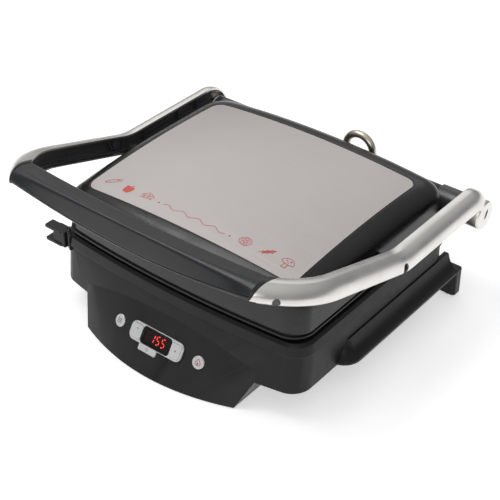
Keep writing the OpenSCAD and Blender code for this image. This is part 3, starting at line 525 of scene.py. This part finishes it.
# teardrop over the lid pivot: middle (Y, Z), direction of its tail, radius of its round end
TEAR_AT, TEAR_LEAN, TEAR_R = (141.0, 131.6), math.radians(236), 4.4
# oval in the hinge head's outer face: middle (Y, Z), direction of its length
SLOT_AT, SLOT_LEAN = (302.0, 111.3), math.radians(61)
# screw recess in the front corner: direction in plan, radius, Y at which its height is taken
SCREW_TURN, SCREW_R, SCREW_Y = math.radians(42), 4.0, -44
# rounded hinge head as [(x, radius)]
HEAD = [(ARM_IN + 1.5, BARREL_R - 1.4), (ARM_IN + 1.5, BARREL_R + 0.4), (ARM_IN + 2.1, HEAD_R),
        (ARM_OUT - 3.2, HEAD_R), (ARM_OUT - 2.0, BARREL_R + 0.7),
        (ARM_OUT - 1.0, BARREL_R - 0.1), (ARM_OUT - 0.5, BARREL_R - 1.2),
        (ARM_OUT - 0.4, BARREL_R - 2.6), (ARM_OUT - 0.4, 0.5)]


def tear_outline():
    """Teardrop [(y, z)]: round at the top, its tail forward and down."""
    c, s = math.cos(TEAR_LEAN), math.sin(TEAR_LEAN)
    loop = [(TEAR_R * math.cos(a), TEAR_R * math.sin(a))
            for a in (TEAR_LEAN + math.radians(100 + 10 * k) for k in range(17))]
    loop += [(13.5 * c + 1.2 * s, 13.5 * s - 1.2 * c), (14.3 * c, 14.3 * s),
             (13.5 * c - 1.2 * s, 13.5 * s + 1.2 * c)]
    return [(TEAR_AT[0] + y, TEAR_AT[1] + z) for y, z in loop]


def slot_outline(half_long=6.2, half_wide=2.4, steps=28):
    """Oval [(y, z)] in the outer face of the hinge head."""
    c, s = math.cos(SLOT_LEAN), math.sin(SLOT_LEAN)
    out = []
    for a in (math.tau * k / steps for k in range(steps)):
        y, z = half_long * math.cos(a), half_wide * math.sin(a)
        out.append((SLOT_AT[0] + y * c - z * s, SLOT_AT[1] + y * s + z * c))
    return out


def screw_rings(side, steps=24):
    """Round recess into the front corner, square to its outer side in plan."""
    ax, ay = math.cos(SCREW_TURN), -math.sin(SCREW_TURN)
    rings = []
    for depth in (-14.0, 4.0):
        cx, cy = OUT_C[0] + (OUT_R + depth) * ax, OUT_C[1] + (OUT_R + depth) * ay
        rings.append([point(side * (cx - ay * SCREW_R * math.cos(a)),
                            cy + ax * SCREW_R * math.cos(a),
                            arm_height(SCREW_Y) - 5 + SCREW_R * math.sin(a))
                      for a in (math.tau * k / steps for k in range(steps))])
    return rings


def arm(side):
    """Arm shell with its recesses, the hinge head and a black sheet in the head's slot: painted
    shade where the slot is shadowed.
    """
    rings = []
    for kind, t in ARM_PATH:
        groove = 1.0 if kind == "bend" or (kind == "run" and t < 140) else 0.25
        if kind == "bend" and t > 0.9:
            groove = 1.0 - (t - 0.9) * 8
        rings.append(station_ring(side, arm_section(groove), kind, t))
    name, metal = SIDES[side], MATERIALS["silver_metal"]
    shell = make(f"arm_shell_{name}", "handle", *skin(rings), metal, slot="silver_metal")
    cut(shell, cutter("tear", across(side, ARM_OUT - 7.5, ARM_OUT + 3, tear_outline())),
        cutter("screw_hole", screw_rings(side)),
        cutter("slot_shell", across(side, ARM_OUT - 3.4, ARM_OUT + 2, slot_outline())))
    head = make(f"arm_head_{name}", "handle", *turned_x(HEAD, HINGE_Y, HINGE_Z, side), metal,
                slot="silver_metal", replaces=(f"{name}_arm",))
    cut(head, cutter("slot", across(side, ARM_OUT - 3.4, ARM_OUT + 2, slot_outline())))
    # a black sheet deep in the slot: painted shade, since the cut leaves the head's silver inside
    # it
    slot_shade_sheet = across(side, ARM_OUT - 3.9, ARM_OUT - 1.1, slot_outline(6.15, 2.35))
    make(f"arm_slot_shade_{name}", "handle", *skin(slot_shade_sheet), MATERIALS["black_moulding"])


for side in SIDES:
    arm(side)


# ---------------------------------------------------------------- arm liners
# channel with a lip at its top and bottom, as a section [(u, v)] of the arm
LINER = [(0.07, 9.3), (0.07, 7.7), (0.10, 7.3), (0.27, 6.9), (0.29, 6.4), (0.29, -5.2),
         (0.27, -5.8), (0.10, -6.2), (0.07, -6.6), (0.07, -9.3), (0.33, -9.0), (0.33, 9.0)]
# the liner leaves out most of the turned-down end and the last of the front corner
CURL_FROM, BEND_TO = 62, 0.93
# hinge barrel, pivot bush and a small boss as [(x, radius)]
BARREL_IN, PIN_BORE = 140.6, 6.06
BARREL = [(BARREL_IN, PIN_BORE), (BARREL_IN, BARREL_R - 1.2), (BARREL_IN + 1.2, BARREL_R),
          (ARM_IN - 1.3, BARREL_R), (ARM_IN - 0.3, BARREL_R - 1.0),
          (ARM_IN - 0.3, BARREL_R - 1.8), (ARM_OUT - 3.6, BARREL_R - 1.8),
          (ARM_OUT - 3.6, PIN_BORE)]
BUSH = [(LID_HALF + 0.4, 4.1), (LID_HALF + 0.4, 6.0), (LID_HALF + 1.0, 6.6),
        (ARM_OUT - 8.6, 6.6), (ARM_OUT - 8.6, 4.1)]
BOSS = [(ARM_IN + 1.6, 3.4), (ARM_IN + 1.6, 5.2), (ARM_IN + 2.0, 5.6), (ARM_IN + 6.2, 5.6),
        (ARM_IN + 6.2, 3.4)]
BOSS_Y = 121
# webs across the channel: Y, lean
WEBS = ((131, 4.0), (112, -3.0), (168, 0.0), (228, 0.0), (262, 0.0))


def liner(side):
    """Dark channel inside the arm with its webs, hinge barrel, pivot bush and boss."""
    rings = [station_ring(side, LINER, kind, t) for kind, t in ARM_PATH
             if kind == "run" or kind == "curl" and t >= CURL_FROM
             or kind == "bend" and t <= BEND_TO]
    parts = [skin(rings), turned_x(BARREL, HINGE_Y, HINGE_Z, side),
             turned_x(BUSH, PIVOT_Y, PIVOT_Z, side),
             turned_x(BOSS, BOSS_Y, arm_height(BOSS_Y) + 0.6, side, 32)]
    for y, lean in WEBS:
        outline = [(y + dy + lean * dv / 8, arm_height(y) + dv)
                   for dy, dv in ((-0.8, -5.6), (0.8, -5.6), (0.8, 6.8), (-0.8, 6.8))]
        parts.append(skin(across(side, ARM_IN + 2.0, ARM_IN + 6.0, outline)))
    # black_inner's slot, but in the lighter grey of the painted sheen
    make(f"arm_liner_{SIDES[side]}", "handle", *joined(*parts), MATERIALS["liner_grey_painted_sheen"],
         replaces=(f"{SIDES[side]}_liner",), slot="black_inner")


for side in SIDES:
    liner(side)


# ---------------------------------------------------------------- chevron between arm and grip
# places of the crease and the foot in arm_section
CREASE = 2 + len(CROWN_LINE)
FOOT = CREASE + 7
# the cap starts just past the arm's end; its outside and inside are the section, scaled
# about a point (u, v) in the arm
CAP_START, CAP_OUT, CAP_IN, CAP_MIDDLE, CAP_LAYERS = 1.004, 1.03, 0.96, (0.45, -1.0), 8


def chevron(side, part, first, last, length):
    """Grip-coloured cap over the arm's end; it narrows from length (share of the bend) to
    nothing, and both caps meet at the crease."""
    section = arm_section(0.0)
    edge = first if part == "top" else last
    rings = []
    for i in range(first, last + 1):
        reach = length * abs(i - CREASE) / abs(edge - CREASE)
        ring = []
        for grow, order in ((CAP_OUT, range(CAP_LAYERS + 1)), (CAP_IN, range(CAP_LAYERS, -1, -1))):
            u, v = (m + (p - m) * grow for m, p in zip(CAP_MIDDLE, section[i]))
            for j in order:
                x, y, z = arm_station(u, v, "bend", CAP_START - reach * j / CAP_LAYERS)
                ring.append(point(side * x, y, z))
        rings.append(ring)
    make(f"joint_{part}_{SIDES[side]}", "handle", *skin(rings), MATERIALS["grip"])


for side in SIDES:
    chevron(side, "top", 1, CREASE, 0.11)
    chevron(side, "low", CREASE, FOOT, 0.14)


# ---------------------------------------------------------------- web of the forked bracket
# middle and radius of the rim's left front corner
BRACKET_C, CORNER_R = (-142.0, 34.0), 24.0
# height and how much further out the web reaches there
WEB_LEVELS = ((68.3, 0.0), (69.0, 0.5), (86.4, 0.5), (87.1, 0.0))


def corner_arc(radius, z):
    """Points round the corner, at one height."""
    return [point(BRACKET_C[0] + radius * math.cos(a), BRACKET_C[1] + radius * math.sin(a), z)
            for a in (math.radians(turn) for turn in range(204, 250, 3))]


web = [corner_arc(CORNER_R + 3.0 + grow, z) + corner_arc(CORNER_R + 0.6, z)[::-1]
       for z, grow in WEB_LEVELS]
make("bracket_web", "base", *skin(web), MATERIALS["black_moulding"])


# ---------------------------------------------------------------- grip
# lines along the grip: Y and Z in its middle, then Y and height over the arm's middle line at
# its ends
GRIP_TOP = [(-31, 188.4, -26.1, 2.2), (-31.2, 196, -26.1, 11), (-32.2, 197.4, -27, 12.2),
            (-34, 198.2, -30, 12.5), (-50, 202.6, -41.3, 11.5), (-53.4, 203, -47.5, 8.9),
            (-55.4, 201.6, -52.5, 5.1), (GRIP_FRONT_Y, 181, -56, 0.5),
            (GRIP_FRONT_Y + 0.2, 179, -57.5, -2.4)]
GRIP_LOW = [(-31.4, 188, -26.4, 1.8), (-58.3, 178.4, -57.6, -2.9), (-57.8, 176.4, -58, -4.6),
            (-54, 172.5, -58, -6.2), (-48, 170, -51, -9.2), (-38, 169, -43.7, -12.5),
            (-33, 171, -30, -12.5), (-31.4, 178, -26.4, -10)]


GRIP_STEPS = 72


def grip(name, rows, radius, replaced):
    """Upper or lower half of the grip: bowed from its middle to its ends, corners rounded."""
    rings = []
    for i in range(GRIP_STEPS + 1):
        s = -1 + 2 * i / GRIP_STEPS
        bow = s * s
        loop = [(a + (c - a) * bow, b + (arm_height(c) + d - b) * bow) for a, b, c, d in rows]
        rings.append([point(s * (GRIP_HALF - 0.3), y, z) for y, z in rounded(loop, radius, 4)])
    make(name, "handle", *skin(rings), MATERIALS["grip"], replaces=(replaced,), slot="grip")


grip("grip_shell_top", GRIP_TOP, 2.6, "grip_upper")
grip("grip_shell_low", GRIP_LOW, 1.6, "grip_lower")


# ---------------------------------------------------------------- lid
# rings of the lid's top: inset, further inset at the back, drop below the dome
SHOULDER = [(0, 0, 27), (0.4, 0, 20), (1.8, 0.3, 14), (4.4, 0.8, 9), (8.4, 1.8, 5),
            (13.5, 3, 2.3), (19, 4.6, 0.8), (22, 5.6, 0.2)]
RECESS = [(22.5, 5.8, 0.35), (22.9, 6, 1.6), (32, 6.4, 1.6)]
# the front edge lies back by bow * x * x / LID_BOW at x
LID_BOW = 3200


def lid_plan(half, front, back, r):
    """Closed plan loop: it bows back towards its sides, most at the front, not past the middle."""
    def corner(cx, cy, a0):
        """A quarter circle from the angle a0 on."""
        return [(cx + r * math.cos(math.radians(a0 + 4.5 * i)),
                 cy + r * math.sin(math.radians(a0 + 4.5 * i))) for i in range(21)]

    def between(a, b, n):
        """n points between a and b."""
        return [(a[0] + (b[0] - a[0]) * i / (n + 1), a[1] + (b[1] - a[1]) * i / (n + 1))
                for i in range(1, n + 1)]
    loop = (corner(half - r, back - r, 0) + between((half - r, back), (r - half, back), 28)
            + corner(r - half, back - r, 90) + between((-half, back - r), (-half, front + r), 24)
            + corner(r - half, front + r, 180) + between((r - half, front), (half - r, front), 28)
            + corner(half - r, front + r, 270) + between((half, front + r), (half, back - r), 24))
    plan = []
    for x, y in loop:
        bow = max(0, (32 - y) / 27) + 0.2 * max(0, (150 - y) / 150)
        plan.append((x, y + bow * x * x / LID_BOW))
    return plan


def lid_ring(inset, back, drop):
    """One ring of the lid's top; the shoulder drops less towards the back."""
    loop = lid_plan(LID_HALF - inset, LID_FRONT_Y + inset, LID_BACK_Y - inset - back,
                    max(LID_CORNER - inset * 0.55, 4))
    ring = []
    for x, y in loop:
        share = 1 if inset > 20 else 1 - 0.3 * max(0, min(1, (y - 200) / 50))
        ring.append(point(x, y, crown(x, y) - drop * share))
    return ring


def lid():
    """The lid's wall, shoulder and domed border, with a recess for the steel plate."""
    rings = []
    for inset, z in ((3, 108), (3, LID_BOTTOM_Z), (0.5, LID_BOTTOM_Z), (0, LID_BOTTOM_Z + 0.6)):
        plan = lid_plan(LID_HALF - inset, LID_FRONT_Y + inset, LID_BACK_Y - inset,
                        LID_CORNER - inset)
        rings.append([point(x, y, z) for x, y in plan])
    rings += [lid_ring(*row) for row in spline(SHOULDER, 4) + RECESS]
    make("lid_shell", "lid", *skin(rings), MATERIALS["lid_black"], replaces=("lid_housing",),
         slot="lid_black")


lid()


# ---------------------------------------------------------------- prints on the steel plate
# width of a line and of a thin line
STROKE = 0.75
THIN = STROKE * 0.8
PRINT_SCALE = 0.92
# gap between the plate and its print
PRINT_GAP = 0.06
# the wavy line and the dots at its ends
WAVE_Y, WAVE_HALF, WAVE_STEPS, WAVE_HIGH, WAVE_DOT_X = 46, 42, 84, 2.1, 48


def flat_piece(name, body, parts, place, material):
    """2-D bands and fills laid on a surface by place(x, y)."""
    points, faces = joined(*parts)
    make(name, body, [place(x, y) for x, y in points], faces, material, smooth=False)


def fill(track):
    """One face inside a closed track."""
    return list(track), [tuple(range(len(track)))]


def dot(x, y, rx, ry=None):
    """A round or oval fill."""
    return fill(round_track(x, y, rx, ry))


def curve(*knots, width=STROKE, steps=4):
    """A band along the smooth curve through the knots."""
    return ribbon(spline(knots, steps), width)


def moved(part, dx, dy, turn=0.0, scale=1.0):
    """A 2-D part turned by degrees, scaled, then shifted."""
    c, s = math.cos(math.radians(turn)) * scale, math.sin(math.radians(turn)) * scale
    return [(dx + c * x - s * y, dy + s * x + c * y) for x, y in part[0]], part[1]


MUSHROOM = [curve((-8, 1), (-7, 4.6), (-3.4, 7.4), (0, 8), (3.4, 7.4), (7, 4.6), (8, 1)),
            curve((-8, 1), (-4, -0.4), (0, -0.8), (4, -0.4), (8, 1)),
            curve((-2.6, -0.8), (-2.2, -4), (-2.8, -7)), curve((2.6, -0.8), (2.2, -4), (2.8, -7)),
            ribbon([(-2.8, -7), (2.8, -7)], STROKE), dot(-2.6, 4.2, 1.1, 0.8),
            dot(2.4, 4.8, 1.3, 0.9), dot(0.2, 2.2, 0.9, 0.6)]
CARROT = [curve((-9, -4), (-4, -3.4), (2, -0.6), (5.4, 2.4), (4.6, 5), (2.4, 5.6), (-2, 3.6),
                (-6, 0), (-9, -4)),
          curve((5, 4), (8, 4.4), (9.6, 6.2)), curve((4.4, 4.8), (6.4, 6.6), (6.6, 8.6)),
          ribbon([(-3.6, -0.6), (-2.2, -1.8)], THIN), ribbon([(-0.4, 2.2), (1, 0.8)], THIN),
          ribbon([(2, 4.2), (3.4, 2.8)], THIN)]
CHEESE = [ribbon([(-8.6, -4.6), (8.6, -4.6), (8.6, 1), (-8.6, -0.4)], STROKE, closed=True),
          ribbon([(-8.6, -0.4), (-1, 5.4), (8.6, 1)], STROKE),
          ribbon(round_track(-4, -2.6, 1.1), THIN, closed=True),
          ribbon(round_track(1.6, -2, 1.5), THIN, closed=True),
          dot(5.8, -3, 0.9), dot(0.6, 2.4, 1.1, 0.7)]
PEPPER = [fill(spline([(-6.4, 2), (-5.6, 4.8), (-2.6, 5.2), (0, 4.4), (2.6, 5.2), (5.6, 4.8),
                       (6.4, 2), (5.4, -3), (3, -6.8), (0.8, -6.2), (0, -6.6), (-0.8, -6.2),
                       (-3, -6.8), (-5.4, -3), (-6.4, 2)], 3)[:-1]),
          curve((0, 4.6), (0.4, 6.8), (2, 8.2), width=1.3)]
# two rows of grains along a stalk: first height, turn of the odd and of the even grains
EAR = ([curve((-9, -3), (-2, -1), (5, 3), steps=5)]
       + [moved(dot(0, 0, 1.9, 0.85), -4 + 2.4 * k, first + 1.15 * k, odd if k % 2 else even)
          for first, odd, even in ((-0.2, 62, -8), (-3.0, 0, -58)) for k in range(5)]
       + [moved(dot(0, 0, 2.1, 0.9), 7.2, 4.0, 30)])
CHAMBER = ribbon(spline([(1.6, 0.9), (4.6, 2.0), (5.2, 0), (4.6, -2.0), (1.6, -0.9)], 4), THIN,
                 closed=True)
SLICE = ([ribbon(round_track(0, 0, 7.6, 6.4, steps=28), STROKE, closed=True)]
         + [moved(CHAMBER, 0, 0, 72 * k + 18, 0.98) for k in range(5)])

plate_print = []
for motif, x, y, turn in ((CARROT, -118, 50, 6), (PEPPER, -93, 47.5, -8), (CHEESE, -66, 49, 4),
                          (SLICE, 66, 49, 0), (EAR, 93, 50, 12), (MUSHROOM, 118, 49, -4)):
    plate_print += [moved(part, x, y, turn, PRINT_SCALE) for part in motif]
wave = [(k - WAVE_HALF, WAVE_Y + WAVE_HIGH * math.sin(k / WAVE_STEPS * math.tau * 4))
        for k in range(WAVE_STEPS + 1)]
plate_print.append(ribbon(wave, 0.7))
plate_print += [dot(x, WAVE_Y, 1.1) for x in (-WAVE_DOT_X, WAVE_DOT_X)]
flat_piece("plate_print", "lid", plate_print, lambda x, y: point(x, y, crown(x, y) + PRINT_GAP),
           MATERIALS["print_red"])


# ---------------------------------------------------------------- display, marks and icons
# bars of a seven-segment digit: middle, turn in degrees
SEGMENTS = {"a": (0, 4.6, 0), "g": (0, 0, 0), "d": (0, -4.6, 0), "f": (-1.95, 2.3, 90),
            "b": (1.95, 2.3, 90), "e": (-1.95, -2.3, 90), "c": (1.95, -2.3, 90)}
BAR_FLAT, BAR_UPRIGHT, BAR_THICK = 1.35, 1.75, 0.52
DIGIT_SIZE, DIGIT_LEAN = 1.02, 0.11
DIGIT_X = (-13.4, -6.2, 0.9, 8.1)
# heights over the panel's face: what the lens covers lies below it
LIT_H, UNLIT_H, DOTS_H = -0.70, -0.72, -0.76
KEY_H, POWER_H, BUTTON_H = 1.78, 1.63, 2.03
DOT_PITCH, DOT_HALF = 1.12, 0.2
# frame round the window: height, half width, half height and corner radius of each loop
BORDER = ((1.36, 20.1, 9.8, 4.2), (1.62, 20.1, 9.8, 4.2), (1.72, 19.7, 9.4, 3.9),
          (1.72, 18.3, 8.0, 3.0), (1.30, 18.0, 7.7, 2.8), (1.12, 18.0, 7.7, 2.8),
          (1.12, 18.9, 8.5, 3.4), (1.36, 18.9, 8.5, 3.4))


def at_height(h):
    """Places (x, s) at one height over the panel's face."""
    return lambda x, s: on_face(x, s, h)


def segment_bars(names, x0):
    """Bars of one seven-segment digit; the digit leans a little."""
    parts = []
    for name in names:
        cx, cy, turn = SEGMENTS[name]
        half, thick = (BAR_UPRIGHT if turn else BAR_FLAT), BAR_THICK
        bar = [(-half, 0), (-half + thick, thick), (half - thick, thick), (half, 0),
               (half - thick, -thick), (-half + thick, -thick)]
        points, faces = moved(fill(bar), cx, cy, turn)
        parts.append(([(x0 + DIGIT_SIZE * (x + DIGIT_LEAN * y), DIGIT_SIZE * y)
                       for x, y in points], faces))
    return parts


def soft_box(half_x, half_s, radius):
    """Closed rounded rectangle."""
    out = []
    for cx, cs, start in ((1, 1, 0), (-1, 1, 90), (-1, -1, 180), (1, -1, 270)):
        out += round_track(cx * (half_x - radius), cs * (half_s - radius), radius,
                           start=start, end=start + 89.9, steps=7)
    return out


lit = (segment_bars("bc", DIGIT_X[1]) + segment_bars("afgcd", DIGIT_X[2])
       + segment_bars("afgcd", DIGIT_X[3]))
unlit = (segment_bars("abcdefg", DIGIT_X[0]) + segment_bars("adefg", DIGIT_X[1])
         + segment_bars("be", DIGIT_X[2]) + segment_bars("be", DIGIT_X[3]))
flat_piece("digits_lit", "base", lit, at_height(LIT_H), MATERIALS["lit_red"])
flat_piece("digits_unlit", "base", unlit, at_height(UNLIT_H), MATERIALS["unlit_red"])

border = [[on_face(x, s, height) for x, s in soft_box(*box)] for height, *box in BORDER]
border.append(border[0])
make("window_border", "base", *skin(border, closed_ends=False), MATERIALS["window_black"])

dots = []
for i in range(-14, 15):
    for j in range(-5, 6):
        x, s = i * DOT_PITCH, j * DOT_PITCH
        dots.append(fill([(x + a * DOT_HALF, s + b * DOT_HALF)
                          for a, b in ((-1, -1), (1, -1), (1, 1), (-1, 1))]))
flat_piece("display_dots", "base", dots, at_height(DOTS_H), MATERIALS["unlit_red"])

flat_piece("minus_mark", "minus", [ribbon([(-KEY_X - 1.4, 3), (-KEY_X + 1.4, 3)], 0.6)],
           at_height(KEY_H), MATERIALS["mark_grey"])
flat_piece("plus_mark", "plus", [ribbon([(KEY_X - 1.4, 0), (KEY_X + 1.4, 0)], 0.6),
                                 ribbon([(KEY_X, -1.4), (KEY_X, -0.3)], 0.6),
                                 ribbon([(KEY_X, 0.3), (KEY_X, 1.4)], 0.6)],
           at_height(KEY_H), MATERIALS["mark_grey"])
flat_piece("power_mark", "power",
           [ribbon(round_track(POWER_X, -13.6, 1.7, start=125, end=415, steps=24), 0.42),
            ribbon([(POWER_X, -13.4), (POWER_X, -11.5)], 0.42)],
           at_height(POWER_H), MATERIALS["mark_grey"])
flat_piece("mode_mark", "mode", [ribbon([(-3, s), (3, s)], 0.8) for s in (1.9, 0, -1.9)],
           lambda x, s: on_button(-ROUND_X, x, s, BUTTON_H), MATERIALS["mark_grey"])
FLAME = spline([(0, -3.4), (-2.4, -2.4), (-2.8, 0), (-1.2, 1.6), (-0.6, 3.8), (1.4, 2),
                (2.8, 0), (2.4, -2.4), (0, -3.4)], 4)[:-1]
flat_piece("heat_mark", "heat", [ribbon(FLAME, 0.7, closed=True), dot(0, -1.4, 1.0, 1.3)],
           lambda x, s: on_button(ROUND_X, x, s, BUTTON_H), MATERIALS["print_red"])


# ---------------------------------------------------------------- stage, light and camera
# light that the stage adds where the camera, metal or glass sees it; half its width (m)
STAGE_LIFT, STAGE_HALF = 0.5, 6.0
# camera fitted to the photo: place in part.scad's millimetres, lens (mm), turn, downward tilt
CAMERA_AT, CAMERA_LENS = (709.04, -741.55, 879.98), 90.02
CAMERA_AZ, CAMERA_EL = math.radians(38.87), math.radians(35.8)


def stage_material():
    """Pale and diffuse; what the camera, metal and glass see of it is lifted to white."""
    mat = bpy.data.materials.new("pale_stage")
    mat.use_nodes = True
    tree = mat.node_tree
    shader = tree.nodes["Principled BSDF"]
    shader.inputs["Base Color"].default_value = (0.8, 0.8, 0.8, 1)
    shader.inputs["Roughness"].default_value = 0.9
    shader.inputs["Specular IOR Level"].default_value = 0.0
    shader.inputs["Emission Color"].default_value = (1, 1, 1, 1)
    path = tree.nodes.new("ShaderNodeLightPath")
    seen = path.outputs["Is Camera Ray"]
    for other in ("Is Glossy Ray", "Is Transmission Ray"):
        either = tree.nodes.new("ShaderNodeMath")
        either.operation = "MAXIMUM"
        node_link(tree, seen, either.inputs[0])
        node_link(tree, path.outputs[other], either.inputs[1])
        seen = either.outputs["Value"]
    lift = tree.nodes.new("ShaderNodeMath")
    lift.operation = "MULTIPLY"
    lift.inputs[1].default_value = STAGE_LIFT
    node_link(tree, seen, lift.inputs[0])
    node_link(tree, lift.outputs["Value"], shader.inputs["Emission Strength"])
    return mat


floor_mesh = bpy.data.meshes.new("floor")
floor_mesh.from_pydata([(STAGE_HALF * x, STAGE_HALF * y, 0)
                        for x, y in ((-1, -1), (1, -1), (1, 1), (-1, 1))], [], [(0, 1, 2, 3)])
floor_mesh.materials.append(stage_material())
floor = bpy.data.objects.new("floor", floor_mesh)
scene.collection.objects.link(floor)

# the room: white light, stronger from above than from the sides
world = bpy.data.worlds.new("studio")
scene.world = world
world.use_nodes = True
room = world.node_tree
background = room.nodes["Background"]
background.inputs["Color"].default_value = (1, 1, 1, 1)
direction = room.nodes.new("ShaderNodeTexCoord")
parts = room.nodes.new("ShaderNodeSeparateXYZ")
node_link(room, direction.outputs["Generated"], parts.inputs["Vector"])
node_link(room, span(room, parts.outputs["Z"], 0.16, 0.62, 0.05, 0.9),
          background.inputs["Strength"])


def area_lamp(name, place, aim, size, power):
    """A rectangular lamp that points at aim; metres and watts."""
    lamp = bpy.data.lights.new(name, "AREA")
    lamp.shape = "RECTANGLE"
    lamp.size, lamp.size_y = size
    lamp.energy = power
    obj = bpy.data.objects.new(name, lamp)
    obj.location = place
    obj.rotation_euler = (Vector(aim) - Vector(place)).to_track_quat("-Z", "Y").to_euler()
    scene.collection.objects.link(obj)


area_lamp("key", (-0.7, -0.3, 1.7), (0, 0, 0.1), (1.0, 1.0), 14)
area_lamp("back", (-1.2, 1.5, 1.3), (0, 0, 0.12), (2.4, 1.1), 5.2)
area_lamp("front", (0.9, -1.6, 0.9), (0, 0, 0.05), (0.9, 0.5), 5.5)

camera_data = bpy.data.cameras.new("camera")
camera_data.sensor_width = 36.0
camera_data.lens = CAMERA_LENS
camera = bpy.data.objects.new("camera", camera_data)
camera.location = point(*CAMERA_AT)
camera.rotation_euler = (math.pi / 2 - CAMERA_EL, 0, CAMERA_AZ)
scene.collection.objects.link(camera)
scene.camera = camera

scene.view_settings.view_transform = "Standard"
